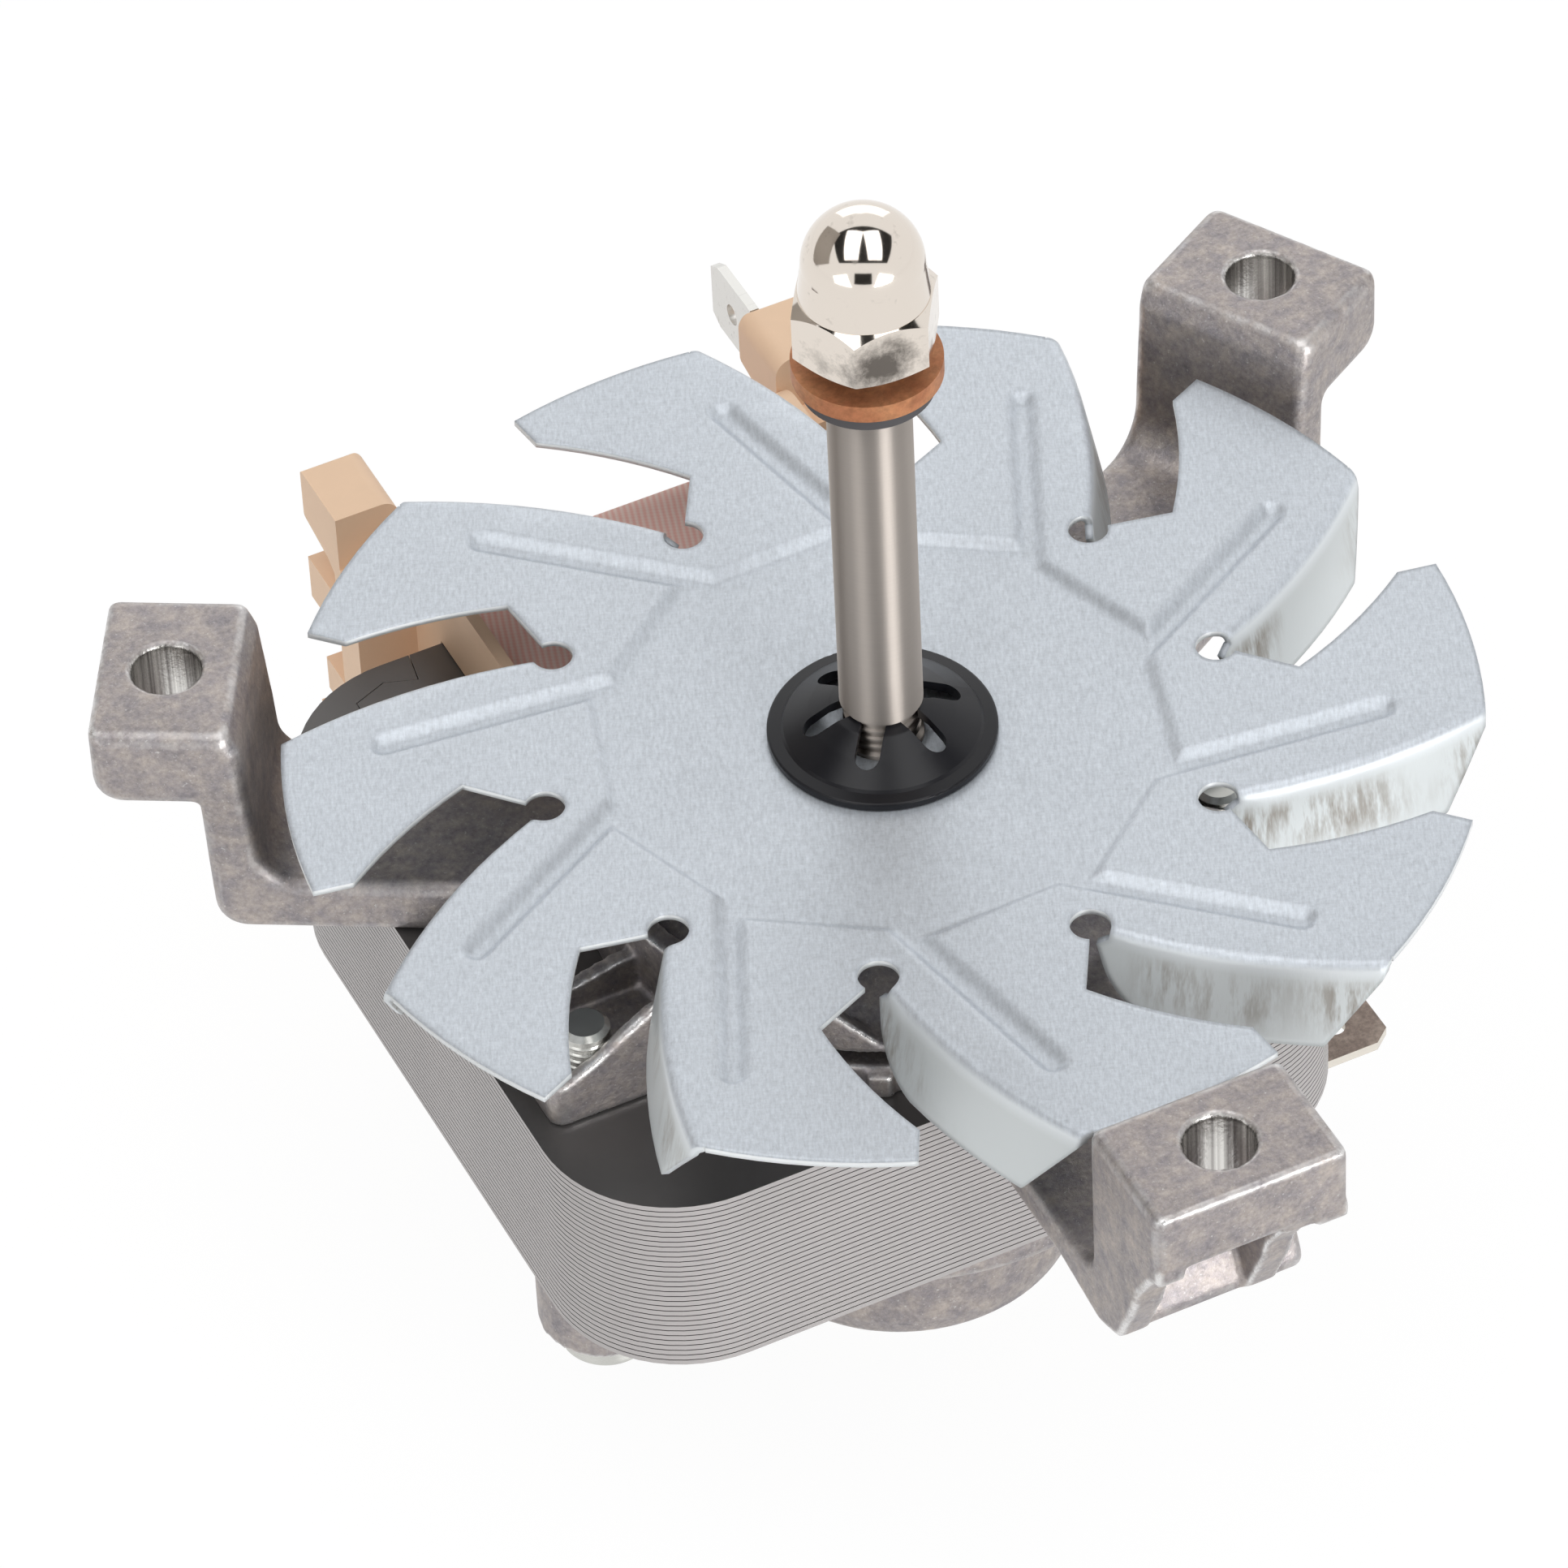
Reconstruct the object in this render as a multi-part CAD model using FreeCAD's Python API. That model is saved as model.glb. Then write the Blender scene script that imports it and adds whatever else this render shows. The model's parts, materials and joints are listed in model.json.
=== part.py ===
import FreeCAD, Part
import math
import os

os.makedirs("parts", exist_ok=True)

# Frame: millimetres, origin on the shaft axis at the plane of the mounting pads,
# +Z along the shaft towards the cap nut, the front leg at 270 degrees.

# Mounting legs
HOLE_CIRCLE_R = 54.0
HOLE_R = 2.65
LEG_ANGLES = (30.0, 150.0)
FRONT_LEG_ANGLE = 270.0
LEG_HALF_WIDTH = 7.8
PAD_OUTER_R = HOLE_CIRCLE_R + 5.2
PAD_INNER_R = HOLE_CIRCLE_R - 5.3
PAD_DEPTH = 7.1
WEB_OUTER_R = HOLE_CIRCLE_R - 2.7
WEB_INNER_R = WEB_OUTER_R - 4.0

# Lamination stack
STACK_TOP = -20.1
STACK_HEIGHT = 17.2
STACK_BOTTOM = STACK_TOP - STACK_HEIGHT
ARM_TOP = STACK_TOP + 5.0
STACK_LEFT = -35.9
STACK_RIGHT = 29.0
STACK_FRONT = -25.2
STACK_BACK = 39.4
STACK_CORNER_R = 11.0
WINDOW_LEFT = -20.9
WINDOW_RIGHT = 15.0
WINDOW_FRONT = 19.4
CORE_FRONT = WINDOW_FRONT + 7.0
JOINT_GAP = 0.08
ROTOR_R = 14.9
BORE_R = ROTOR_R + 0.35
SHADING_BAR = 1.6
SHADING_R = BORE_R + 2.45
SHADING_PAIRS = ((128.0, 156.0), (308.0, 336.0))
SCREW_R = 1.9
SCREW_X = (-30.1, 23.3)
SCREW_Y = -10.0
SCREW_TOP = STACK_TOP + 7.1
SCREW_HEAD_R = 3.75

# Rotor and shaft
JOURNAL_R = 3.0
SHAFT_R = 3.175
STUD_R = 2.95
RIDGE_R = 2.95
NECK_R = 2.75
GROOVE_R = 2.6
END_RING = 3.5
END_PLAY = 0.3
THRUST_WASHER = 0.4
BAR_COUNT = 17
BAR_R = 0.95
BAR_CIRCLE_R = ROTOR_R - 1.6

# Bearings
BALL_R = 6.2
BALL_HALF = 3.6
BEARING_BORE_R = JOURNAL_R + 0.03
SEAT_R = 5.25
SEAT_OFFSET = 3.3
RETAINER_OFFSET = 1.9
POCKET_R = 9.2
FRONT_BALL_Z = STACK_TOP + 7.1
REAR_BALL_Z = STACK_BOTTOM - 13.0

# Bearing bells
BELL_INNER_R = SHADING_R + SHADING_BAR / 2 + 3.0
BELL_R = BELL_INNER_R + 1.9
RING_R = BELL_R + 0.15
HUB_TOP = FRONT_BALL_Z + 4.7
CUP_R = POCKET_R + 5.0
CUP_BOTTOM = REAR_BALL_Z - 7.2
BOSS_R = 5.2
BOSS_BOTTOM = STACK_BOTTOM - 7.0

# Cooling fan
FAN_TOP = HUB_TOP + 3.68
SHEET = 0.5
FAN_R = WEB_INNER_R - 1.9
BLADES = 10
FIRST_HOLE = 26.73
RELIEF_CIRCLE_R = FAN_R - 18.9
RELIEF_R = 1.55
FLANGE_DEPTH = 7.2
FLANGE_LEAN = 1.4
BEND_R = 0.9
PRESS_DEPTH = 0.6
PRESS_SLOPE = 0.9
RIB_HALF = 0.4
FAN_BORE_R = 3.2
FAN_SEAT_TOP = FAN_TOP - SHEET - PRESS_DEPTH
SEAT_RING_TOP = FAN_TOP - 2.58
SEAT_RING_LOW = SEAT_RING_TOP - 0.7

# Shaft lengths
SHAFT_END = REAR_BALL_Z - 4.9
SHOULDER_LOW = FAN_TOP + 2.92
SHOULDER_HIGH = 29.9
STUD_TOP = SHOULDER_HIGH + 11.1

# Push-on clip
CLIP_R = 8.75
CLIP_SLOTS = 6
CLIP_SLOT_END_R = 6.2
CLIP_SLOT_HALF = 0.95
CLIP_FIRST = 51.5

# Coil
BOBBIN_LEFT = WINDOW_LEFT + 1.4
BOBBIN_RIGHT = WINDOW_RIGHT - 0.7
BOBBIN_CLEARANCE = 0.6
BOBBIN_WALL = 0.9
CORE_PLAY = 0.15
WINDING = 3.5
TAPE = 0.35
FLANGE_TOP = STACK_TOP + 7.5
FLANGE_BOTTOM = STACK_BOTTOM - 7.5
FLANGE_FRONT = WINDOW_FRONT + 1.6
FLANGE_BACK = STACK_BACK + 7.9
POST_TOP = STACK_TOP + 8.9
POST_BACK = STACK_BACK + 14.6
POST_FRONT = STACK_BACK + 7.8
POST_WIDTH = 5.0

# Terminals
TAB_WIDTH = 6.3
TAB_THICK = 0.8
TAB_NECK = 2.4
TAB_X = BOBBIN_RIGHT + 0.7
TAB_ROOT = POST_FRONT + 1.8
TAB_TIP = POST_BACK + 7.3
TAB_HOLE_R = 0.9
UPPER_TAB_Z = POST_TOP - 3.3
LOWER_TAB_Z = STACK_BOTTOM - 3.3
EARTH_TIP = SCREW_X[1] + 13.6

# Output end
THIN_WASHER_R = 5.0
THIN_WASHER = 1.3
COPPER_R = 5.62
COPPER = 1.45
NUT_GAP = 1.55
NUT_FLATS = 10.0
NUT_HEX = 4.8
NUT_HEIGHT = 12.0
NUT_TURN = 56.15
DOME_R = 4.93
CROWN_R = 4.58


def vec(x, y, z=0.0):
    return FreeCAD.Vector(x, y, z)


def box(x0, x1, y0, y1, z0, z1):
    return Part.makeBox(x1 - x0, y1 - y0, z1 - z0, vec(x0, y0, z0))


def rod(radius, z0, z1, x=0.0, y=0.0):
    return Part.makeCylinder(radius, z1 - z0, vec(x, y, z0))


def tube(outer, inner, z0, z1, x=0.0, y=0.0):
    return rod(outer, z0, z1, x, y).cut(rod(inner, z0 - 1, z1 + 1, x, y))


def turned(shape, degrees):
    copy = shape.copy()
    copy.rotate(vec(0, 0), vec(0, 0, 1), degrees)
    return copy


def polar(radius, degrees, z=0.0):
    a = math.radians(degrees)
    return vec(radius * math.cos(a), radius * math.sin(a), z)


def turned_point(point, degrees):
    a = math.radians(degrees)
    return vec(point.x * math.cos(a) - point.y * math.sin(a),
               point.x * math.sin(a) + point.y * math.cos(a), point.z)


def outline(corners, place):
    # corners: (a, b, rounding radius); place turns (a, b) into a point
    points = [vec(c[0], c[1]) for c in corners]
    ends = []
    for i, corner in enumerate(corners):
        here = points[i]
        if corner[2] == 0:
            ends.append((here, None, here))
            continue
        back = (points[i - 1] - here).normalize()
        ahead = (points[(i + 1) % len(points)] - here).normalize()
        half = back.getAngle(ahead) / 2
        reach = corner[2] / math.tan(half)
        centre = here + (back + ahead).normalize() * (corner[2] / math.sin(half))
        mid = centre + (here - centre).normalize() * corner[2]
        ends.append((here + back * reach, mid, here + ahead * reach))
    edges = []
    for i, (start, mid, stop) in enumerate(ends):
        if mid is not None:
            arc = Part.Arc(place(start.x, start.y), place(mid.x, mid.y), place(stop.x, stop.y))
            edges.append(arc.toShape())
        following = ends[(i + 1) % len(ends)][0]
        if (following - stop).Length > 1e-6:
            edges.append(Part.makeLine(place(stop.x, stop.y), place(following.x, following.y)))
    return Part.Face(Part.Wire(edges))


def sharp(points):
    return [(a, b, 0) for a, b in points]


def plate(corners, z0, z1):
    face = outline(corners, lambda a, b: vec(a, b, z0))
    return face.extrude(vec(0, 0, z1 - z0))


def side_profile(corners, y0, y1):
    face = outline(corners, lambda a, b: vec(a, y0, b))
    return face.extrude(vec(0, y1 - y0, 0))


def end_profile(corners, x0, x1):
    face = outline(corners, lambda a, b: vec(x0, a, b))
    return face.extrude(vec(x1 - x0, 0, 0))


def lathe(corners):
    face = outline(corners, lambda a, b: vec(a, 0, b))
    return face.revolve(vec(0, 0), vec(0, 0, 1), 360)


def fuse(shapes):
    joined = shapes[0].fuse(list(shapes[1:]))
    return joined.removeSplitter()


def soften(shape, radius, wanted):
    edges = [e for e in shape.Edges if wanted(e)]
    return shape.makeFillet(radius, edges)


def mirrored(shape, centre_x):
    return shape.mirror(vec(centre_x, 0, 0), vec(1, 0, 0))


def save(name, shape):
    solids = shape.Solids
    result = solids[0] if len(solids) == 1 else Part.makeCompound(solids)
    result.exportStep("parts/%s.step" % name)


SCREW_MID_X = (SCREW_X[0] + SCREW_X[1]) / 2


# Front bracket

def leg_profile():
    return [
        (10.0, STACK_TOP, 0), (WEB_OUTER_R - 0.5, STACK_TOP, 2.5),
        (WEB_OUTER_R, -PAD_DEPTH, 0.5), (PAD_OUTER_R, -PAD_DEPTH, 2.3),
        (PAD_OUTER_R, 0.0, 0.4), (PAD_INNER_R, 0.0, 0.8),
        (PAD_INNER_R - 0.8, -2.0, 1.5), (WEB_INNER_R, -PAD_DEPTH - 1.9, 2.0),
        (WEB_INNER_R - 0.4, ARM_TOP, 3.2), (10.0, ARM_TOP, 0)]


def pad_edges(edge):
    box_ = edge.BoundBox
    upright = box_.ZLength > 3 and box_.XLength < 0.6 and box_.YLength < 0.1
    return upright and box_.Center.x > PAD_OUTER_R - 1


def plain_leg():
    leg = side_profile(leg_profile(), -LEG_HALF_WIDTH, LEG_HALF_WIDTH)
    return soften(leg, 1.1, pad_edges)


def front_leg():
    lip = 6.0
    face = PAD_INNER_R - 0.2
    heel = STACK_TOP + 1.8
    outer = WEB_OUTER_R - 0.1
    body = side_profile([
        (10.0, STACK_TOP, 0), (-STACK_FRONT - 0.4, STACK_TOP, 0),
        (-STACK_FRONT + 2.6, heel, 1.5), (WEB_INNER_R - 3.8, heel, 2.0),
        (WEB_OUTER_R - 1.7, heel - 1.2, 1.5), (WEB_OUTER_R + 1.6, heel + 0.1, 1.0),
        (outer, ARM_TOP + 0.6, 1.5), (outer, -lip, 0.8), (PAD_OUTER_R, -lip, 0.6),
        (PAD_OUTER_R, 0.0, 0.4), (PAD_INNER_R - 0.1, 0.0, 0.8), (face, -2.0, 0),
        (face, ARM_TOP, 2.2), (10.0, ARM_TOP, 0)], -LEG_HALF_WIDTH, LEG_HALF_WIDTH)
    body = soften(body, 0.8, pad_edges)
    inside = WEB_OUTER_R - 1.3
    rib = [
        (inside, -lip + 0.6, 0), (inside, heel - 0.6, 0), (WEB_OUTER_R + 1.5, heel + 0.2, 0.6),
        (PAD_OUTER_R - 3.9, ARM_TOP + 2.4, 1.2), (PAD_OUTER_R - 3.3, -lip - 4.6, 1.5),
        (PAD_OUTER_R - 1.0, -lip - 1.0, 0.4), (PAD_OUTER_R - 0.5, -lip - 1.0, 0.4),
        (PAD_OUTER_R - 0.2, -lip + 0.6, 0)]
    lug = [
        (PAD_OUTER_R - 3.7, -lip + 0.5, 0), (PAD_OUTER_R - 3.7, -lip - 1.0, 0.3),
        (PAD_OUTER_R, -lip - 1.0, 0.5), (PAD_OUTER_R, -lip + 0.5, 0)]
    left, right = -LEG_HALF_WIDTH, LEG_HALF_WIDTH
    ribs = [
        side_profile(rib, left, left + 2.5), side_profile(rib, right - 5.1, right - 2.7),
        side_profile(lug, left, left + 2.2), side_profile(lug, right - 2.5, right)]
    return fuse([body] + ribs)


def left_foot():
    # a cast pocket round the left clamp screw, open at the top
    x, floor_z = SCREW_X[0], STACK_TOP
    x_end, x_hub = x - 4.2, x + 16.1
    y_face, y_back = SCREW_Y - 2.87, SCREW_Y + 7.2
    wall = side_profile([
        (x_end, floor_z, 0), (x_end, floor_z + 3.9, 0.6), (x - 3.0, floor_z + 4.3, 0),
        (x - 0.5, floor_z + 5.6, 0), (x + 1.9, floor_z + 7.3, 0), (x + 4.3, floor_z + 8.8, 0),
        (x + 10.1, floor_z + 9.7, 1.0), (x_hub - 1.0, floor_z + 9.7, 0),
        (x_hub - 1.0, floor_z, 0)], y_face, y_face + 1.1)
    floor = box(x_end, x_hub, y_face, y_back, floor_z, floor_z + 2.4)
    back = side_profile([
        (x_end, floor_z, 0), (x_end, floor_z + 3.1, 0.5), (x + 6.1, floor_z + 5.5, 1.0),
        (x_hub, floor_z + 5.5, 0), (x_hub, floor_z, 0)], y_back - 1.3, y_back)
    end = box(x_end, x_end + 1.1, y_face, y_back, floor_z, floor_z + 3.2)
    foot = fuse([wall, floor, back, end])
    round_r = 1.3
    centre_x, centre_y = x_end + round_r, y_face + round_r
    corner = box(x_end - 1.7, centre_x, y_face - 1, centre_y, floor_z - 1, floor_z + 12)
    corner = corner.cut(rod(round_r, floor_z - 2, floor_z + 13, centre_x, centre_y))
    return foot.cut(corner)


def front_bell():
    ledge = STACK_TOP + 2.8
    bell = lathe([
        (0.0, STACK_TOP, 0), (RING_R, STACK_TOP, 0), (RING_R, ledge, 0.3),
        (BELL_R, ledge + 0.1, 0), (BELL_R, ledge + 2.1, 0), (BELL_R - 1.8, ledge + 2.3, 0),
        (POCKET_R + 4.4, HUB_TOP - 2.5, 1.5), (POCKET_R + 1.7, HUB_TOP, 0.6),
        (0.0, HUB_TOP, 0)])
    rim_top = STACK_TOP + 8.5
    wide, narrow = LEG_HALF_WIDTH + 6.4, LEG_HALF_WIDTH + 3.0
    way = side_profile(sharp([
        (-wide, rim_top + 1), (wide, rim_top + 1), (wide, rim_top), (narrow, ARM_TOP),
        (-narrow, ARM_TOP), (-wide, rim_top)]), -BELL_R - 6, -12)
    rim = tube(BELL_R, BELL_R - 1.8, STACK_TOP + 3.6, rim_top).cut(way)
    nub = turned(box(BELL_R - 0.8, BELL_R + 0.8, -1.0, 1.0, STACK_TOP, STACK_TOP + 2.3), 242.0)
    return [bell, rim, nub]


def front_cavity():
    seat_z = FRONT_BALL_Z + SEAT_OFFSET
    mouth = FRONT_BALL_Z - 2.7
    return lathe([
        (0.0, STACK_TOP - 0.5, 0), (BELL_INNER_R, STACK_TOP - 0.5, 0),
        (BELL_INNER_R, STACK_TOP + 3.4, 0.6), (POCKET_R + 3.4, HUB_TOP - 4.3, 0.8),
        (POCKET_R + 2.0, mouth, 0), (POCKET_R, mouth, 0), (POCKET_R, seat_z, 0),
        (SEAT_R, seat_z, 0), (SEAT_R, HUB_TOP + 0.5, 0), (0.0, HUB_TOP + 0.5, 0)])


def bell_slot(start):
    # a slot through the bell's wall over a third of a quarter turn
    sweep = math.radians(33.0)
    far = BELL_R + 16
    sector = tube(BELL_R + 1.6, BELL_R - 3.4, STACK_TOP + 2.8, STACK_TOP + 4.1)
    wedge = plate(sharp([(0, 0), (far, 0), (far * math.cos(sweep), far * math.sin(sweep))]),
                  STACK_TOP + 1, STACK_TOP + 6)
    return sector.common(turned(wedge, start))


def bobbin_relief(z0, z1):
    # room for the bobbin's flanges and posts in a bracket
    gap = BOBBIN_CLEARANCE
    flanges = box(BOBBIN_LEFT - gap, BOBBIN_RIGHT + gap, FLANGE_FRONT - gap, POST_BACK, z0, z1)
    posts = box(BOBBIN_LEFT - POST_WIDTH - gap, BOBBIN_RIGHT + POST_WIDTH + gap,
                POST_FRONT - 3.2, POST_BACK + 2, z0, z1)
    return [flanges, posts]


def front_bracket():
    foot = left_foot()
    pieces = front_bell() + [foot, mirrored(foot, SCREW_MID_X)]
    pieces.append(turned(front_leg(), FRONT_LEG_ANGLE))
    for angle in LEG_ANGLES:
        pieces.append(turned(plain_leg(), angle))
    body = fuse(pieces)
    cuts = [front_cavity(), bell_slot(216.0), bell_slot(291.0)]
    for angle in LEG_ANGLES + (FRONT_LEG_ANGLE,):
        spot = polar(HOLE_CIRCLE_R, angle)
        cuts.append(rod(HOLE_R, -PAD_DEPTH - 1.9, 1, spot.x, spot.y))
        cuts.append(Part.makeCone(HOLE_R, HOLE_R + 0.5, 0.5, vec(spot.x, spot.y, -0.25)))
    for x in SCREW_X:
        cuts.append(rod(SCREW_R, STACK_TOP - 1, STACK_TOP + 10, x, SCREW_Y))
    return body.cut(cuts + bobbin_relief(STACK_TOP - 1, HUB_TOP + 0.3))


# Rear bracket

def rear_bracket():
    seat_z = REAR_BALL_Z - SEAT_OFFSET
    mouth = REAR_BALL_Z + 3.9
    bell = lathe([
        (0.0, STACK_BOTTOM, 0), (BELL_R, STACK_BOTTOM, 0), (BELL_R, STACK_BOTTOM - 3.9, 1.0),
        (CUP_R + 3.3, STACK_BOTTOM - 7.9, 1.5), (CUP_R, STACK_BOTTOM - 10.1, 1.5),
        (CUP_R, CUP_BOTTOM + 1.8, 0), (CUP_R - 0.5, CUP_BOTTOM, 0.6), (0.0, CUP_BOTTOM, 0)])
    pieces = [bell]
    for x in SCREW_X:
        low, high = min(x, 0), max(x, 0)
        pieces.append(rod(BOSS_R, BOSS_BOTTOM, STACK_BOTTOM, x, SCREW_Y))
        pieces.append(box(low, high, SCREW_Y - 4.2, SCREW_Y + 4.2, STACK_BOTTOM - 4.3,
                          STACK_BOTTOM))
        pieces.append(box(low, high, SCREW_Y - 1.0, SCREW_Y + 1.0, BOSS_BOTTOM + 0.7,
                          STACK_BOTTOM))
    body = fuse(pieces)
    cavity = lathe([
        (0.0, STACK_BOTTOM + 1, 0), (BELL_INNER_R, STACK_BOTTOM + 1, 0),
        (BELL_INNER_R, STACK_BOTTOM - 3.0, 1.0), (CUP_R - 1.7, STACK_BOTTOM - 9.3, 1.0),
        (CUP_R - 1.7, CUP_BOTTOM + 2.9, 0.6), (POCKET_R + 1.8, CUP_BOTTOM + 2.9, 0.6),
        (POCKET_R + 1.8, mouth, 0), (POCKET_R, mouth, 0), (POCKET_R, seat_z, 0),
        (SEAT_R, seat_z, 0), (SEAT_R, CUP_BOTTOM + 1.6, 0), (0.0, CUP_BOTTOM + 1.6, 0)])
    cuts = [cavity]
    for x in SCREW_X:
        cuts.append(rod(SCREW_R, BOSS_BOTTOM - 1, STACK_BOTTOM + 1, x, SCREW_Y))
    return body.cut(cuts + bobbin_relief(FLANGE_BOTTOM - 1, STACK_BOTTOM + 1))


# Lamination stack and core

def dovetail(gap):
    # tongue of the coil core in the left limb, grown by the joint gap
    neck, waist = WINDOW_LEFT - 1.4 - gap, WINDOW_LEFT - 1.9 - gap
    throat, head = WINDOW_LEFT - 4.5 - gap, WINDOW_LEFT - 7.3 - gap
    over = 1 if gap else 0
    return [
        (neck, STACK_BACK + over), (waist, STACK_BACK - 2.9 + gap),
        (throat, STACK_BACK - 1.95 + gap), (head, STACK_BACK - 3.1 + gap),
        (head, CORE_FRONT + 3.3 - gap), (throat, CORE_FRONT + 2.1 - gap),
        (waist, CORE_FRONT + 3.1 - gap), (neck, CORE_FRONT - over)]


def core_outline(gap):
    left = dovetail(gap)
    right = [(WINDOW_LEFT + WINDOW_RIGHT - a, b) for a, b in reversed(left)]
    return sharp(left + right)


def stator_stack():
    body = plate([
        (STACK_LEFT, STACK_FRONT, STACK_CORNER_R), (STACK_RIGHT, STACK_FRONT, STACK_CORNER_R),
        (STACK_RIGHT, STACK_BACK, STACK_CORNER_R), (STACK_LEFT, STACK_BACK, STACK_CORNER_R)],
        STACK_BOTTOM, STACK_TOP)
    low, high = STACK_BOTTOM - 1, STACK_TOP + 1
    cuts = [rod(BORE_R, low, high)]
    cuts.append(plate([
        (WINDOW_LEFT, WINDOW_FRONT, 1.5), (WINDOW_RIGHT, WINDOW_FRONT, 1.5),
        (WINDOW_RIGHT, CORE_FRONT + 2, 0), (WINDOW_LEFT, CORE_FRONT + 2, 0)], low, high))
    cuts.append(plate(core_outline(JOINT_GAP), low, high))
    for x in SCREW_X:
        cuts.append(rod(SCREW_R + 0.2, low, high, x, SCREW_Y))
    for pair in SHADING_PAIRS:
        cuts += [shading_leg(angle, low, high) for angle in pair]
    return body.cut(cuts)


def coil_core():
    return plate(core_outline(0), STACK_BOTTOM, STACK_TOP)


def shading_leg(angle, z0, z1):
    half = SHADING_BAR / 2
    return turned(box(SHADING_R - half, SHADING_R + half, -half, half, z0, z1), angle)


def shading_rings():
    rings = []
    bar = SHADING_BAR
    for first, second in SHADING_PAIRS:
        parts = []
        for angle in (first, second):
            parts.append(shading_leg(angle, STACK_BOTTOM - bar, STACK_TOP + bar))
        swing = math.radians((second - first) / 2)
        half, depth = SHADING_R * math.sin(swing), SHADING_R * math.cos(swing)
        for z0 in (STACK_TOP, STACK_BOTTOM - bar):
            side = box(depth - bar / 2, depth + bar / 2, -half, half, z0, z0 + bar)
            parts.append(turned(side, (first + second) / 2))
        rings.append(fuse(parts))
    return Part.makeCompound(rings)


# Coil

def coil_ring(inner_gap, outer_gap, corner, x0, x1):
    def loop(gap, radius):
        return end_profile([
            (CORE_FRONT - gap, STACK_BOTTOM - gap, radius),
            (STACK_BACK + gap, STACK_BOTTOM - gap, radius),
            (STACK_BACK + gap, STACK_TOP + gap, radius),
            (CORE_FRONT - gap, STACK_TOP + gap, radius)], x0, x1)
    inner = loop(inner_gap, max(corner - (outer_gap - inner_gap), 0.3))
    return loop(outer_gap, corner).cut(inner)


TUBE_GAP = CORE_PLAY + BOBBIN_WALL
COIL_GAP = TUBE_GAP + WINDING
TAPE_GAP = COIL_GAP + TAPE


def post_blocks(x0, x1, round_left):
    top_round = 1.5
    base = FLANGE_BOTTOM - 0.6
    upper = [
        (POST_FRONT, POST_TOP, 0), (POST_BACK, POST_TOP, 0.4), (POST_BACK, POST_TOP - 4.8, 0.4),
        (POST_FRONT + 2.4, POST_TOP - 5.8, 0.3), (POST_FRONT + 0.6, POST_TOP - 7.0, 0.3),
        (POST_FRONT, POST_TOP - 7.0, 0)]
    block = end_profile(upper, x0, x1)
    centre = x0 + top_round if round_left else x1 - top_round
    edge = x0 - 1 if round_left else x1 + 1
    centre_z = POST_TOP - top_round
    corner = box(min(centre, edge), max(centre, edge), POST_FRONT - 1, POST_BACK + 1, centre_z,
                 POST_TOP + 1)
    round_end = Part.makeCylinder(top_round, POST_BACK - POST_FRONT + 2,
                                  vec(centre, POST_FRONT - 1, centre_z), vec(0, 1, 0))
    return [
        block.cut(corner.cut(round_end)),
        box(x0, x1, POST_FRONT - 2.6, POST_FRONT + 1.2, base, POST_TOP - 5.3),
        box(x0, x1, POST_FRONT, POST_BACK, STACK_TOP - 4.7, STACK_TOP - 0.4),
        box(x0, x1, POST_FRONT, POST_BACK - 2.0, STACK_BOTTOM + 4.1, STACK_BOTTOM + 7.5),
        box(x0, x1, POST_FRONT, POST_BACK, base, STACK_BOTTOM + 1.1)]


def bobbin():
    pieces = [coil_ring(CORE_PLAY, TUBE_GAP, 0.8, BOBBIN_LEFT, BOBBIN_RIGHT)]
    inner = end_profile([
        (CORE_FRONT - CORE_PLAY, STACK_BOTTOM - CORE_PLAY, 0),
        (STACK_BACK + CORE_PLAY, STACK_BOTTOM - CORE_PLAY, 0),
        (STACK_BACK + CORE_PLAY, STACK_TOP + CORE_PLAY, 0),
        (CORE_FRONT - CORE_PLAY, STACK_TOP + CORE_PLAY, 0)], BOBBIN_LEFT - 1, BOBBIN_RIGHT + 1)
    flange = [
        (FLANGE_FRONT, FLANGE_BOTTOM, 1.0), (FLANGE_BACK, FLANGE_BOTTOM, 0.5),
        (FLANGE_BACK, FLANGE_TOP, 3.0), (FLANGE_FRONT, FLANGE_TOP, 1.0)]
    pieces.append(end_profile(flange, BOBBIN_LEFT, BOBBIN_LEFT + 1.0))
    pieces.append(end_profile(flange, BOBBIN_RIGHT - 1.0, BOBBIN_RIGHT))
    pieces += post_blocks(BOBBIN_LEFT - POST_WIDTH, BOBBIN_LEFT + 0.4, False)
    pieces += post_blocks(BOBBIN_RIGHT - 0.4, BOBBIN_RIGHT + POST_WIDTH, True)
    body = fuse(pieces)
    cuts = [inner]
    for z in (UPPER_TAB_Z, LOWER_TAB_Z):
        cuts.append(box(TAB_X, TAB_X + TAB_THICK, TAB_ROOT, POST_BACK + 1, z - TAB_NECK,
                        z + TAB_NECK))
    return body.cut(cuts)


def spade_tab(z):
    half = TAB_WIDTH / 2
    tip = TAB_NECK
    step = POST_BACK + 0.05
    tab = end_profile(sharp([
        (TAB_ROOT, z - TAB_NECK), (POST_BACK, z - TAB_NECK), (step, z - half),
        (TAB_TIP - 1.3, z - half), (TAB_TIP, z - tip), (TAB_TIP, z + tip),
        (TAB_TIP - 1.3, z + half), (step, z + half), (POST_BACK, z + TAB_NECK),
        (TAB_ROOT, z + TAB_NECK)]), TAB_X, TAB_X + TAB_THICK)
    hole = Part.makeCylinder(TAB_HOLE_R, 3, vec(TAB_X - 1, TAB_TIP - 3.7, z), vec(1, 0, 0))
    return tab.cut(hole)


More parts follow.
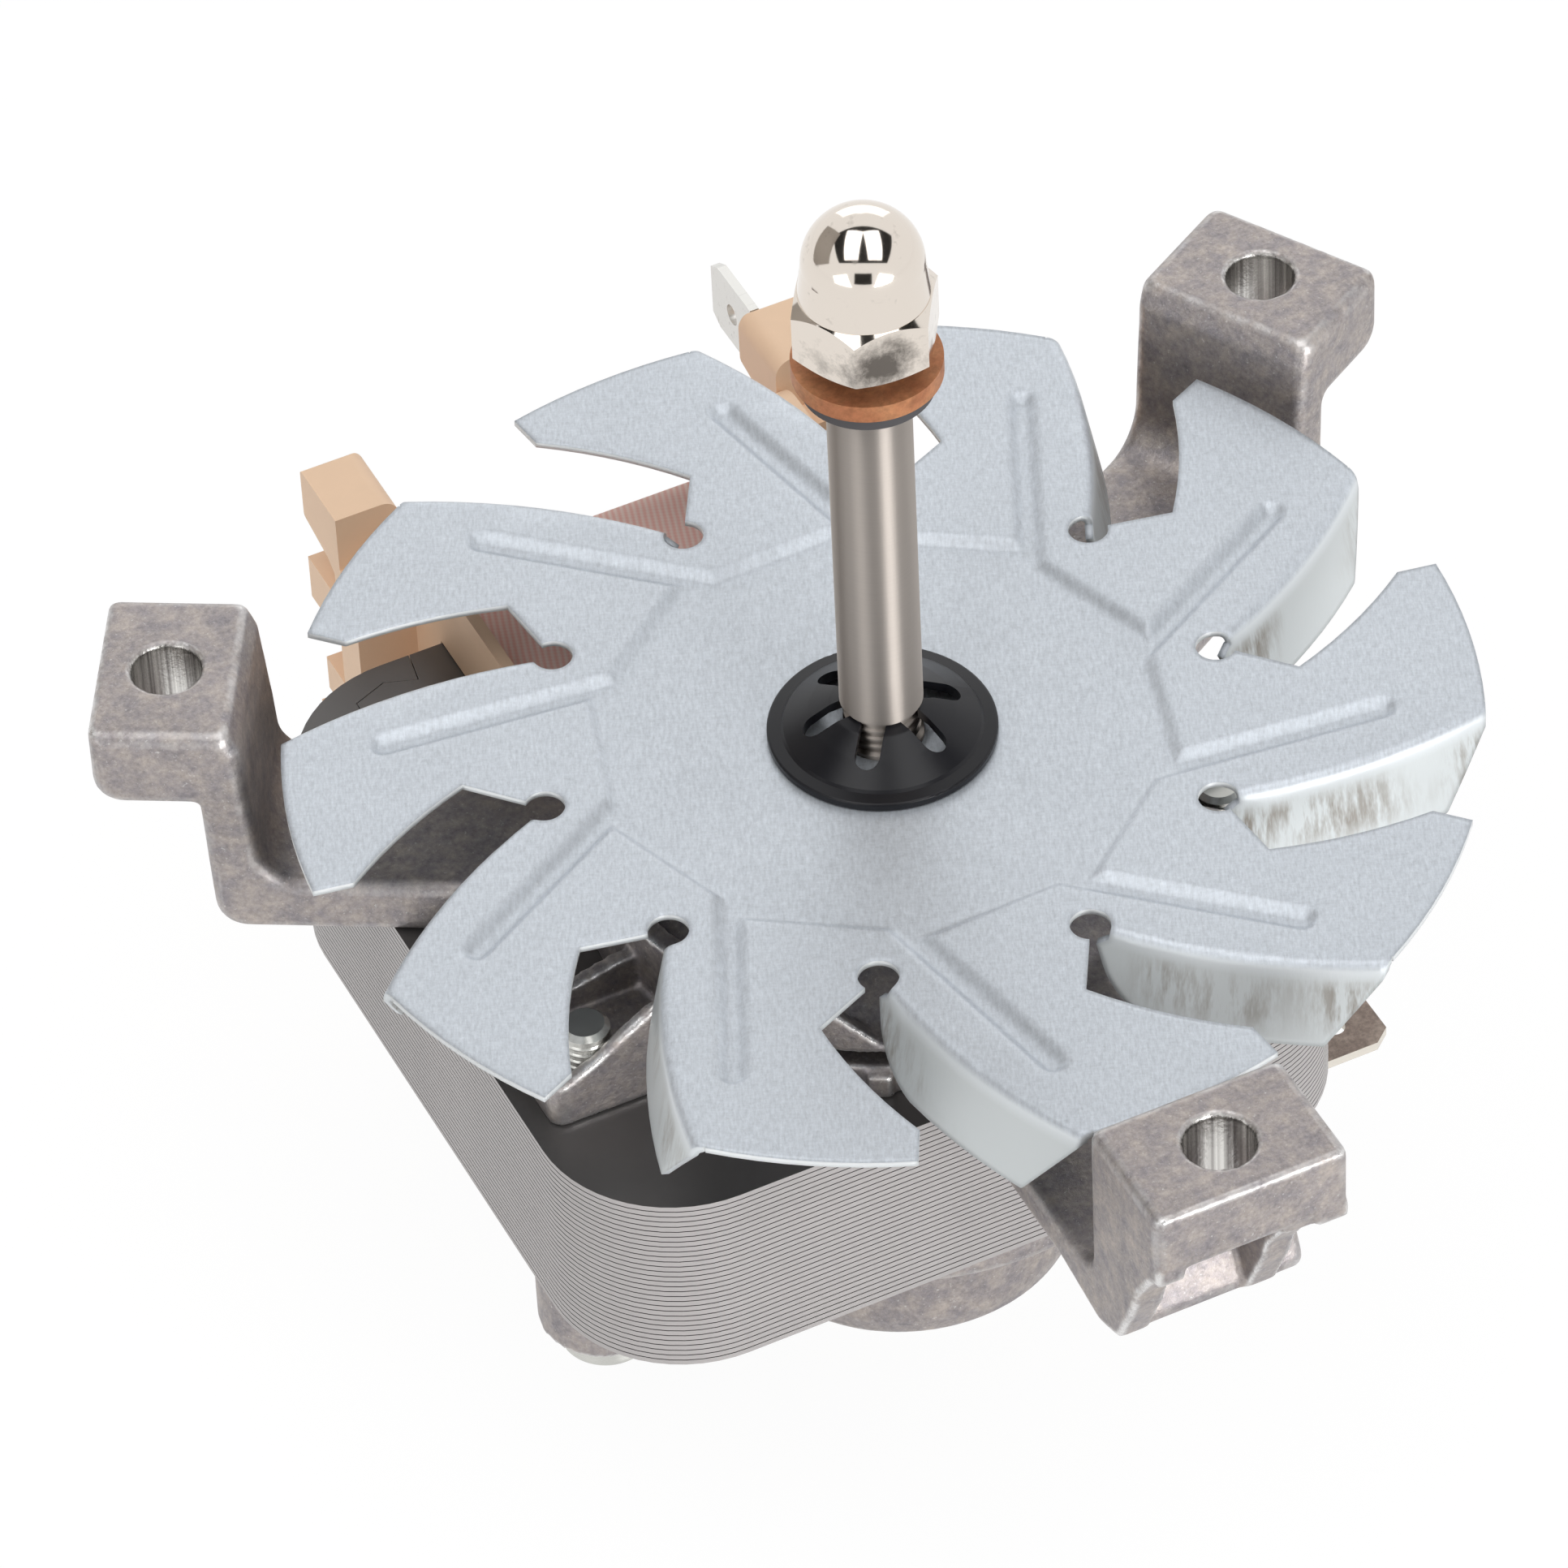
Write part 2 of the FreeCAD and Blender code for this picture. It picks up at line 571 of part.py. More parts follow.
def earth_tab():
    x, z1 = SCREW_X[1], BOSS_BOTTOM
    z0 = z1 - TAB_THICK
    half = TAB_WIDTH / 2
    blade = plate([
        (x, SCREW_Y - half, 0), (EARTH_TIP - 1.4, SCREW_Y - half, 0),
        (EARTH_TIP, SCREW_Y - 2.0, 0), (EARTH_TIP, SCREW_Y + 2.0, 0),
        (EARTH_TIP - 1.4, SCREW_Y + half, 0), (x, SCREW_Y + half, 0)], z0, z1)
    eye = rod(4.6, z0, z1, x, SCREW_Y)
    hole = rod(SCREW_R + 0.2, z0 - 1, z1 + 1, x, SCREW_Y)
    small = rod(TAB_HOLE_R, z0 - 1, z1 + 1, EARTH_TIP - 3.6, SCREW_Y)
    return fuse([blade, eye]).cut([hole, small])


def clamp_screws():
    screws = []
    for x, seat in ((SCREW_X[0], BOSS_BOTTOM), (SCREW_X[1], BOSS_BOTTOM - TAB_THICK)):
        screw = lathe([
            (0.0, seat - 3.0, 0), (SCREW_HEAD_R, seat - 3.0, 0.9), (SCREW_HEAD_R, seat, 0.2),
            (SCREW_R, seat, 0), (SCREW_R, SCREW_TOP - 0.4, 0), (SCREW_R - 0.4, SCREW_TOP, 0),
            (0.0, SCREW_TOP, 0)])
        screw.translate(vec(x, SCREW_Y))
        reach = SCREW_HEAD_R + 0.25
        slot = box(x - reach, x + reach, SCREW_Y - 0.5, SCREW_Y + 0.5, seat - 3.5, seat - 1.9)
        screws.append(screw.cut(slot))
    return Part.makeCompound(screws)


# Bearings

def bearing(z):
    a = math.sqrt(BALL_R ** 2 - BALL_HALF ** 2)
    low, high = vec(a, 0, z - BALL_HALF), vec(a, 0, z + BALL_HALF)
    inner_low, inner_high = vec(BEARING_BORE_R, 0, z - BALL_HALF), vec(BEARING_BORE_R, 0,
                                                                      z + BALL_HALF)
    edges = [
        Part.makeLine(inner_low, low), Part.Arc(low, vec(BALL_R, 0, z), high).toShape(),
        Part.makeLine(high, inner_high), Part.makeLine(inner_high, inner_low)]
    return Part.Face(Part.Wire(edges)).revolve(vec(0, 0), vec(0, 0, 1), 360)


def retainer(z, side):
    radius = math.sqrt(BALL_R ** 2 - RETAINER_OFFSET ** 2)
    z0 = z + side * RETAINER_OFFSET
    z1 = z0 + side * 0.5
    return tube(POCKET_R, radius, min(z0, z1), max(z0, z1))


def felt(z, side):
    far = z - side * SEAT_OFFSET
    near = z + side * RETAINER_OFFSET
    return tube(POCKET_R, BALL_R, min(far, near), max(far, near))


# Rotor

def rotor_shaft():
    z = FAN_TOP - 0.28
    profile = [
        (0.0, SHAFT_END), (JOURNAL_R - 0.4, SHAFT_END), (JOURNAL_R, SHAFT_END + 0.4),
        (JOURNAL_R, SEAT_RING_LOW), (GROOVE_R, SEAT_RING_LOW), (GROOVE_R, SEAT_RING_TOP),
        (FAN_BORE_R - 0.05, SEAT_RING_TOP), (FAN_BORE_R - 0.05, z)]
    while z < SHOULDER_LOW - 0.75:
        profile += [(NECK_R, z + 0.1), (NECK_R, z + 0.45), (RIDGE_R, z + 0.6),
                    (RIDGE_R, z + 0.8)]
        z += 0.8
    profile += [
        (NECK_R, z + 0.05), (NECK_R, SHOULDER_LOW), (SHAFT_R - 0.2, SHOULDER_LOW),
        (SHAFT_R, SHOULDER_LOW + 0.2), (SHAFT_R, SHOULDER_HIGH - 0.2), (STUD_R, SHOULDER_HIGH),
        (STUD_R, STUD_TOP - 0.5), (STUD_R - 0.5, STUD_TOP), (0.0, STUD_TOP)]
    return lathe(sharp(profile))


def bars(z0, z1):
    return [turned(rod(BAR_R, z0, z1, BAR_CIRCLE_R, 0), i * 360.0 / BAR_COUNT)
            for i in range(BAR_COUNT)]


def rotor_core():
    core = tube(ROTOR_R, JOURNAL_R, STACK_BOTTOM, STACK_TOP)
    return core.cut(bars(STACK_BOTTOM - 1, STACK_TOP + 1))


def rotor_cage():
    outer, inner = ROTOR_R - 0.4, ROTOR_R - 6.3
    rings = [
        tube(outer, inner, STACK_TOP, STACK_TOP + END_RING),
        tube(outer, inner, STACK_BOTTOM - END_RING, STACK_BOTTOM)]
    return fuse(rings + bars(STACK_BOTTOM - 0.5, STACK_TOP + 0.5))


def gap_ends():
    # heights of the thrust faces beside the two bearings
    return FRONT_BALL_Z - BALL_HALF - END_PLAY, REAR_BALL_Z + BALL_HALF + END_PLAY


def rotor_spacers():
    high, low = gap_ends()
    radius = JOURNAL_R + 1.6
    return Part.makeCompound([
        tube(radius, JOURNAL_R, STACK_TOP, high - THRUST_WASHER),
        tube(radius, JOURNAL_R, low + THRUST_WASHER, STACK_BOTTOM)])


def thrust_washers():
    high, low = gap_ends()
    radius = JOURNAL_R + 2.0
    return Part.makeCompound([
        tube(radius, JOURNAL_R, high - THRUST_WASHER, high),
        tube(radius, JOURNAL_R, low, low + THRUST_WASHER)])


# Cooling fan

def circle_centre(p, q, s):
    ax, ay, bx, by, cx, cy = p.x, p.y, q.x, q.y, s.x, s.y
    d = 2 * (ax * (by - cy) + bx * (cy - ay) + cx * (ay - by))
    a2, b2, c2 = ax * ax + ay * ay, bx * bx + by * by, cx * cx + cy * cy
    ux = (a2 * (by - cy) + b2 * (cy - ay) + c2 * (ay - by)) / d
    uy = (a2 * (cx - bx) + b2 * (ax - cx) + c2 * (bx - ax)) / d
    return vec(ux, uy)


BEND_POINTS = ((RELIEF_CIRCLE_R, 0.0), (RELIEF_CIRCLE_R + 5.5, 6.1), (FAN_R + 0.4, 19.3))


def bend_arc(offset):
    points = [polar(r, a) for r, a in BEND_POINTS]
    centre = circle_centre(*points)
    radius = (points[0] - centre).Length
    scale = (radius - offset) / radius
    return [centre + (p - centre) * scale for p in points]


def at_height(points, z):
    return [vec(p.x, p.y, z) for p in points]


def slot_cut():
    z = FAN_TOP - SHEET - 1
    start, mid, stop = at_height(bend_arc(BEND_R), z)
    c1, c2 = polar(RELIEF_CIRCLE_R + 5.5, -7.6, z), polar(FAN_R - 3.1, 4.3, z)
    c3 = polar(FAN_R + 0.1, 3.9, z)
    belly = polar(FAN_R - 7.8, -1.05, z)
    out1, out2 = polar(FAN_R + 3.6, 3.7, z), polar(FAN_R + 3.6, 21.5, z)
    hole = polar(RELIEF_CIRCLE_R, 0, z)
    edges = [
        Part.makeLine(start, hole), Part.makeLine(hole, c1), Part.Arc(c1, belly, c2).toShape(),
        Part.makeLine(c2, c3), Part.makeLine(c3, out1), Part.makeLine(out1, out2),
        Part.makeLine(out2, stop), Part.Arc(stop, mid, start).toShape()]
    return Part.Face(Part.Wire(edges)).extrude(vec(0, 0, SHEET + 2))


def flange_wall():
    # the bend line is an arc, so the bent flange is turned about the arc's own axis
    low = FAN_TOP - FLANGE_DEPTH
    a0, a1, a2 = at_height(bend_arc(0), low)
    centre = circle_centre(a0, a1, a2)
    radius = math.hypot(a0.x - centre.x, a0.y - centre.y)
    first = math.degrees(math.atan2(a0.y - centre.y, a0.x - centre.x))
    last = math.degrees(math.atan2(a2.y - centre.y, a2.x - centre.x))
    sweep = (last - first + 180.0) % 360.0 - 180.0
    section = outline([
        (radius - BEND_R - 0.3, FAN_TOP - SHEET, 0),
        (radius - SHEET, FAN_TOP - SHEET, BEND_R - SHEET),
        (radius - SHEET + FLANGE_LEAN, low, 0), (radius + FLANGE_LEAN, low, 0),
        (radius, FAN_TOP, BEND_R), (radius - BEND_R - 0.3, FAN_TOP, 0)],
        lambda a, b: vec(a, 0, b))
    wall = section.revolve(vec(0, 0), vec(0, 0, 1), sweep)
    wall.rotate(vec(0, 0), vec(0, 0, 1), first)
    wall.translate(vec(centre.x, centre.y))
    chord = a2 - a0
    blank = side_profile([
        (1.4, FAN_TOP + 1, 0), (1.4, FAN_TOP - BEND_R, 0), (0.5, FAN_TOP - RELIEF_R, 0),
        (2.4, low - 0.05, 6.0), (17.9, low - 0.05, 0.6), (22.9, FAN_TOP, 0),
        (22.9, FAN_TOP + 1, 0)], -6, 6)
    blank.rotate(vec(0, 0), vec(0, 0, 1), math.degrees(math.atan2(chord.y, chord.x)))
    blank.translate(vec(a0.x, a0.y, 0))
    return wall.common(blank)


def crossing(p, q, r, s):
    # crossing point of the lines p-q and r-s
    d1, d2 = q - p, s - r
    det = d1.x * d2.y - d1.y * d2.x
    t = ((r.x - p.x) * d2.y - (r.y - p.y) * d2.x) / det
    return p + d1 * t


def press_wire(grow, z):
    step = 360.0 / BLADES
    inner = RELIEF_CIRCLE_R - 5.2
    edges = []
    corners = []
    for k in range(BLADES):
        root = polar(RELIEF_CIRCLE_R - 4.1, 6.3 + k * step)
        tip = polar(FAN_R - 7.4, 20.1 + k * step)
        along = (tip - root).normalize()
        side = vec(-along.y, along.x) * (RIB_HALF + grow)
        side_r = vec(0, 0) - side
        e0, e1 = polar(inner, 6.0 + k * step), polar(inner, -20.1 + k * step)
        f0, f1 = turned_point(e0, step), turned_point(e1, step)
        out0 = (e0 + e1).normalize() * grow
        out1 = (f0 + f1).normalize() * grow
        right = crossing(root + side_r, tip + side_r, e0 + out0, e1 + out0)
        left = crossing(root + side, tip + side, f0 + out1, f1 + out1)
        centre = tip - along * RIB_HALF
        corners.append((right, centre + side_r, centre + along * (RIB_HALF + grow),
                        centre + side, left))
    for k, (right, a, b, c, left) in enumerate(corners):
        following = corners[(k + 1) % BLADES][0]
        pts = at_height([right, a, b, c, left, following], z)
        edges += [
            Part.makeLine(pts[0], pts[1]), Part.Arc(pts[1], pts[2], pts[3]).toShape(),
            Part.makeLine(pts[3], pts[4]), Part.makeLine(pts[4], pts[5])]
    return Part.Wire(edges)


def cooling_fan():
    step = 360.0 / BLADES
    under = FAN_TOP - SHEET
    sheet = rod(FAN_R, under, FAN_TOP)
    cuts = [turned(slot_cut(), k * step) for k in range(BLADES)]
    sheet = sheet.cut(cuts)
    walls = [turned(flange_wall(), k * step) for k in range(BLADES)]
    body = fuse([sheet] + walls)
    body = body.common(rod(FAN_R, -20, 0))
    slab = Part.makeLoft([press_wire(0.25, under - PRESS_DEPTH),
                          press_wire(PRESS_SLOPE + 0.25, under + 0.02)], True, True)
    well = Part.makeLoft([press_wire(0.0, under - PRESS_DEPTH + SHEET),
                          press_wire(PRESS_SLOPE, FAN_TOP + 0.02)], True, True)
    body = fuse([body, slab]).cut(well)
    holes = [turned(rod(RELIEF_R, under - 0.4, FAN_TOP + 1, RELIEF_CIRCLE_R, 0), k * step)
             for k in range(BLADES)]
    body = body.cut(holes + [rod(FAN_BORE_R, -10, 0)])
    return turned(body, FIRST_HOLE)


def fan_clip():
    seat = FAN_TOP - PRESS_DEPTH
    crown = CLIP_R - 3.15
    body = lathe([
        (CLIP_R - 1.75, seat, 0), (CLIP_R, seat, 0.2), (CLIP_R, seat + 0.75, 0.2),
        (CLIP_R - 1.05, seat + 0.85, 0), (CLIP_R - 1.25, seat + 1.05, 0),
        (crown, seat + 2.22, 3.0), (RIDGE_R + 0.95, seat + 3.12, 1.0),
        (RIDGE_R, seat + 3.37, 0), (RIDGE_R, seat + 2.52, 0), (RIDGE_R + 1.05, seat + 2.32, 0.5),
        (crown, seat + 1.32, 2.0)])
    slots = []
    for k in range(CLIP_SLOTS):
        end = CLIP_SLOT_END_R - CLIP_SLOT_HALF
        low, high = seat - 3, seat + 6
        slot = fuse([box(0, end, -CLIP_SLOT_HALF, CLIP_SLOT_HALF, low, high),
                     rod(CLIP_SLOT_HALF, low, high, end, 0)])
        slots.append(turned(slot, CLIP_FIRST + k * 360.0 / CLIP_SLOTS))
    return body.cut(slots)


# Output end

def washer(radius, low, thickness):
    return tube(radius, STUD_R, low, low + thickness)


def cap_nut():
    base = SHOULDER_HIGH + THIN_WASHER + COPPER + NUT_GAP
    across = NUT_FLATS / math.cos(math.radians(30)) / 2
    hexagon = plate(sharp([(across * math.cos(math.radians(a)), across * math.sin(math.radians(a)))
                           for a in range(0, 360, 60)]), base, base + NUT_HEX)
    bevel = lathe([
        (0.0, base, 0), (NUT_FLATS / 2, base, 0), (across + 0.05, base + 0.4, 0),
        (across + 0.05, base + NUT_HEX - 0.75, 0), (DOME_R, base + NUT_HEX, 0),
        (0.0, base + NUT_HEX, 0)])
    hexagon = turned(hexagon.common(bevel), NUT_TURN)
    top = base + NUT_HEIGHT
    low = base + NUT_HEX - 0.2
    cone = Part.makeCone(DOME_R - 0.01, CROWN_R, top - CROWN_R - low, vec(0, 0, low))
    crown = Part.makeSphere(CROWN_R, vec(0, 0, top - CROWN_R), vec(0, 0, 1), 0, 90, 360)
    return hexagon.fuse([cone, crown]).cut(rod(STUD_R, base - 1, STUD_TOP + 0.6))


save("front_bracket", front_bracket())
save("rear_bracket", rear_bracket())
save("stator_stack", stator_stack())
save("coil_core", coil_core())
save("shading_rings", shading_rings())
save("bobbin", bobbin())
save("coil_winding", coil_ring(TUBE_GAP, COIL_GAP, 3.4, BOBBIN_LEFT + 1.0, BOBBIN_RIGHT - 1.0))
save("coil_tape", coil_ring(COIL_GAP, TAPE_GAP, 3.75, BOBBIN_LEFT + 1.0, BOBBIN_RIGHT - 1.0))
save("upper_terminal", spade_tab(UPPER_TAB_Z))
save("lower_terminal", spade_tab(LOWER_TAB_Z))
save("earth_tab", earth_tab())
save("clamp_screws", clamp_screws())
save("front_bearing", bearing(FRONT_BALL_Z))
save("rear_bearing", bearing(REAR_BALL_Z))
save("front_retainer", retainer(FRONT_BALL_Z, -1))
save("rear_retainer", retainer(REAR_BALL_Z, 1))
save("front_felt", felt(FRONT_BALL_Z, -1))
save("rear_felt", felt(REAR_BALL_Z, 1))

save("rotor_shaft", rotor_shaft())
save("rotor_core", rotor_core())
save("rotor_cage", rotor_cage())
save("rotor_spacers", rotor_spacers())
save("thrust_washers", thrust_washers())
save("seat_ring", tube(JOURNAL_R + 2.4, GROOVE_R, SEAT_RING_LOW, SEAT_RING_TOP))
save("fan_seat", tube(JOURNAL_R + 3.5, FAN_BORE_R - 0.05, SEAT_RING_TOP, FAN_SEAT_TOP))
save("cooling_fan", cooling_fan())
save("fan_clip", fan_clip())
save("thin_washer", washer(THIN_WASHER_R, SHOULDER_HIGH, THIN_WASHER))
save("copper_washer", washer(COPPER_R, SHOULDER_HIGH + THIN_WASHER, COPPER))
save("cap_nut", cap_nut())
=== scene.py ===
"""Oven fan motor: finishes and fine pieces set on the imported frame."""

import json
import math

import bmesh
import bpy
from bpy.props import FloatProperty, FloatVectorProperty, IntProperty, PointerProperty
from mathutils import Matrix, Vector
from mathutils.kdtree import KDTree


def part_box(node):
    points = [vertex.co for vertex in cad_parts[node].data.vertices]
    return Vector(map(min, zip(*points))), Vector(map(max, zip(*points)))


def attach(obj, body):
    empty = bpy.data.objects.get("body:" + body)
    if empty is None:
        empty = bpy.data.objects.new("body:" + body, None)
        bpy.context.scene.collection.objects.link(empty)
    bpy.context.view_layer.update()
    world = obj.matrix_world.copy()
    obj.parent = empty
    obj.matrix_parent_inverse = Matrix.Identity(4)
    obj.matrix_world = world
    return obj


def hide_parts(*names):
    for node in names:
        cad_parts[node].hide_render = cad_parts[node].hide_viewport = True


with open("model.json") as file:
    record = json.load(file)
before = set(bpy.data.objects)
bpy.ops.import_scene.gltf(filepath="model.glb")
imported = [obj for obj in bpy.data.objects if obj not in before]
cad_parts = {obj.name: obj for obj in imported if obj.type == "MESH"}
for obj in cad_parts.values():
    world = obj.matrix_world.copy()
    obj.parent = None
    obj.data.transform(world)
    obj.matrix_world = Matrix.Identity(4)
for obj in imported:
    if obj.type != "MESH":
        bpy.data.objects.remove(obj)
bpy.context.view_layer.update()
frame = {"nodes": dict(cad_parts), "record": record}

bl_info = {
    "name": "Oven fan motor",
    "version": (1, 0, 0),
    "blender": (4, 5, 0),
    "location": "View3D > Sidebar > Fan motor",
    "description": "Finishes and fine pieces of an oven fan motor",
    "category": "Object",
}

MM = 0.001
CASTING_TRIANGLES = 110000
HOLE_CIRCLE = 54.0 * MM
HOLE_RADIUS = 2.65 * MM
HOLE_LOW = -12.0 * MM
# Axis (x, y), radius and lower end of each pad hole
PAD_HOLES = [(HOLE_CIRCLE * math.cos(math.radians(a)), HOLE_CIRCLE * math.sin(math.radians(a)),
              HOLE_RADIUS, HOLE_LOW) for a in (30.0, 150.0, 270.0)]
STACK_LOW, STACK_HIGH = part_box("stator_stack")
CUP_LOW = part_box("rear_bracket")[0]
HEX_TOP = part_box("cap_nut")[0].z + 4.8 * MM
# Places in millimetres that the stack's outline and the clamp screws share
SCREW_XS = (-30.1, 23.3)
SCREW_Y = -10.0
SCREW_HOLE = 2.1
SCREW_THREAD_LOW = -17.9 * MM
WINDOW_MIDDLE = -5.9

# Camera: its place, the way from the object back to it, and the picture's right
CAMERA_PLACE = (-0.22175, -0.47668, 0.50114)
CAMERA_LENS = 222.3
BACK_WAY = Vector((-0.29287, -0.65424, 0.69730)).normalized()
RIGHT_WAY = Vector((0.89655, -0.44135, -0.03755)).normalized()
UP_WAY = BACK_WAY.cross(RIGHT_WAY)
FLOOR_HALF = 4.0
SKY_FILL = 0.42
BOX_DISTANCE = 1.05
CARD_DISTANCE = 1.25
# Name, degrees right of the camera's line, degrees above it, half width, half height, grey
DARK_CARDS = (("card_above", 0.0, 32.0, 1.45, 0.86, 0.02),
              ("card_below", 0.0, -31.0, 0.34, 0.23, 0.02),
              ("card_left", -82.0, 24.0, 0.46, 0.60, 0.55))
# Name, degrees right of the camera's line, degrees above it, width, height, watts
SOFT_BOXES = (("strip_left", -21.0, 30.0, 0.50, 1.05, 3.9),
              ("strip_right", 21.0, 30.0, 0.50, 1.05, 3.9),
              ("low_left", -45.0, -34.0, 0.50, 0.50, 1.3),
              ("low_right", 45.0, -34.0, 0.50, 0.50, 9.2),
              ("back", 0.0, 112.0, 0.9, 0.5, 1.0))


def srgb(red, green, blue):
    """A colour written in 0-255 screen values, as a linear colour."""
    def lin(value):
        c = value / 255.0
        return c / 12.92 if c <= 0.04045 else ((c + 0.055) / 1.055) ** 2.4
    return (lin(red), lin(green), lin(blue))


# Settings

def length(name, description, default_mm):
    return FloatProperty(name=name, description=description, default=default_mm * MM,
                         unit="LENGTH", precision=5)


def colour(name, description, value):
    return FloatVectorProperty(name=name, description=description, default=value,
                               subtype="COLOR", size=3, min=0.0, max=1.0)


class MotorSizes(bpy.types.PropertyGroup):
    sheet_count: IntProperty(name="Sheets", description="Sheets in the lamination stack",
                             default=32, min=2)
    sheet_thickness: length("Sheet", "Thickness of one lamination", 0.45)
    sheet_recess: length("Recess", "Depth of the dark line between two sheets", 0.16)
    corner_radius: length("Corner", "Radius of the stack's corners", 11.0)
    bore_radius: length("Bore", "Radius of the rotor bore", 15.25)
    cast_grid: length("Casting grid", "Grain of the castings' rounded mesh", 0.28)
    fan_sheet: length("Wheel sheet", "Thickness of the cooling wheel's sheet", 0.5)
    thread_pitch: length("Thread pitch", "Pitch of the clamp screws' thread", 0.7)
    stud_pitch: length("Stud pitch", "Pitch of the shaft end's thread", 1.0)


class MotorColours(bpy.types.PropertyGroup):
    zinc_sheet: colour("Galvanised sheet", "Cooling wheel", srgb(199, 205, 212))
    zinc_streak: colour("Sheet streaks", "Streaks on the bent flanges", srgb(132, 122, 110))
    cast_grey: colour("Casting", "Brackets", srgb(148, 143, 146))
    cast_pink: colour("Casting tint", "Warm patches of the casting", srgb(170, 161, 155))
    cast_bright: colour("Worn edge", "Rubbed edges of the casting", srgb(228, 227, 226))
    sheet_edge: colour("Sheet edge", "Cut edges of the laminations", srgb(180, 176, 175))
    sheet_face: colour("Sheet face", "Face of the top lamination", srgb(98, 96, 95))
    bobbin: colour("Bobbin", "Moulded bobbin", srgb(246, 212, 180))
    tape: colour("Coil tape", "Woven tape", srgb(252, 226, 216))
    copper: colour("Copper", "Copper washer", srgb(206, 146, 102))
    steel: colour("Turned steel", "Shaft", srgb(178, 170, 163))
    nickel: colour("Nickel", "Cap nut", srgb(226, 217, 207))
    black: colour("Clip", "Push-on clip", srgb(18, 18, 23))
    tin: colour("Tin", "Terminals", srgb(226, 225, 221))


# Shader helpers

class Graph:
    """Adds and links nodes of one tree."""

    def __init__(self, tree):
        self.tree = tree

    def add(self, kind, inputs=None, **settings):
        node = self.tree.nodes.new(kind)
        for key, value in settings.items():
            setattr(node, key, value)
        for key, value in (inputs or {}).items():
            self.feed(node.inputs[key], value)
        return node

    def feed(self, socket, value):
        if isinstance(value, bpy.types.NodeSocket):
            self.tree.links.new(value, socket)
        elif isinstance(value, (tuple, list)) and socket.type == "RGBA" and len(value) == 3:
            socket.default_value = (*value, 1.0)
        else:
            socket.default_value = value

    def noise(self, vector, scale, detail=4.0, rough=0.55):
        node = self.add("ShaderNodeTexNoise", {
            "Vector": vector, "Scale": scale, "Detail": detail, "Roughness": rough})
        return node.outputs["Fac"]

    def stretch(self, vector, scale, rotation=(0.0, 0.0, 0.0)):
        node = self.add("ShaderNodeMapping", {
            "Vector": vector, "Scale": scale, "Rotation": rotation})
        return node.outputs["Vector"]

    def ramp(self, value, low, high):
        node = self.add("ShaderNodeMapRange", {
            "Value": value, "From Min": low, "From Max": high}, clamp=True)
        return node.outputs["Result"]

    def math(self, operation, a, b=0.0):
        node = self.add("ShaderNodeMath", {0: a, 1: b}, operation=operation)
        return node.outputs[0]

    def mix(self, factor, a, b):
        node = self.add("ShaderNodeMix", data_type="RGBA")
        self.feed(node.inputs["Factor"], factor)
        self.feed(node.inputs[6], a)
        self.feed(node.inputs[7], b)
        return node.outputs[2]

    def bump(self, height, distance, strength=1.0, normal=None):
        node = self.add("ShaderNodeBump", {
            "Height": height, "Distance": distance, "Strength": strength})
        if normal is not None:
            self.feed(node.inputs["Normal"], normal)
        return node.outputs["Normal"]


def seen_ray(graph):
    """1 for the rays that show a surface to the camera, in a mirror or through glass."""
    path = graph.add("ShaderNodeLightPath")
    return graph.math("MAXIMUM", path.outputs["Is Camera Ray"],
                      graph.math("MAXIMUM", path.outputs["Is Glossy Ray"],
                                 path.outputs["Is Transmission Ray"]))


def node_group(name, inputs, outputs, build):
    """A shader node group; build(graph, input sockets) returns the output sockets."""
    if name in bpy.data.node_groups:
        return bpy.data.node_groups[name]
    tree = bpy.data.node_groups.new(name, "ShaderNodeTree")
    for label, kind, value in inputs:
        socket = tree.interface.new_socket(label, in_out="INPUT", socket_type=kind)
        if value is not None:
            socket.default_value = value
    for label, kind in outputs:
        tree.interface.new_socket(label, in_out="OUTPUT", socket_type=kind)
    graph = Graph(tree)
    start = graph.add("NodeGroupInput")
    end = graph.add("NodeGroupOutput")
    made = build(graph, start.outputs)
    for (label, _), socket in zip(outputs, made):
        graph.feed(end.inputs[label], socket)
    return tree


FLOAT, VECTOR, COLOUR = "NodeSocketFloat", "NodeSocketVector", "NodeSocketColor"


def grain_group():
    """Fine speckle: a tone to multiply the colour by, and a height."""
    def build(graph, given):
        fine = graph.noise(given["Vector"], given["Scale"], 3.0, 0.7)
        broad_scale = graph.math("MULTIPLY", given["Scale"], 0.06)
        broad = graph.noise(given["Vector"], broad_scale, 4.0, 0.6)
        both = graph.math("ADD", graph.math("MULTIPLY", fine, 0.65),
                          graph.math("MULTIPLY", broad, 0.35))
        swing = graph.math("MULTIPLY", graph.math("SUBTRACT", both, 0.5), given["Amount"])
        return [graph.math("ADD", swing, 1.0), both]
    return node_group("Surface grain",
                      [("Vector", VECTOR, None), ("Scale", FLOAT, 900.0), ("Amount", FLOAT, 0.2)],
                      [("Tone", FLOAT), ("Height", FLOAT)], build)


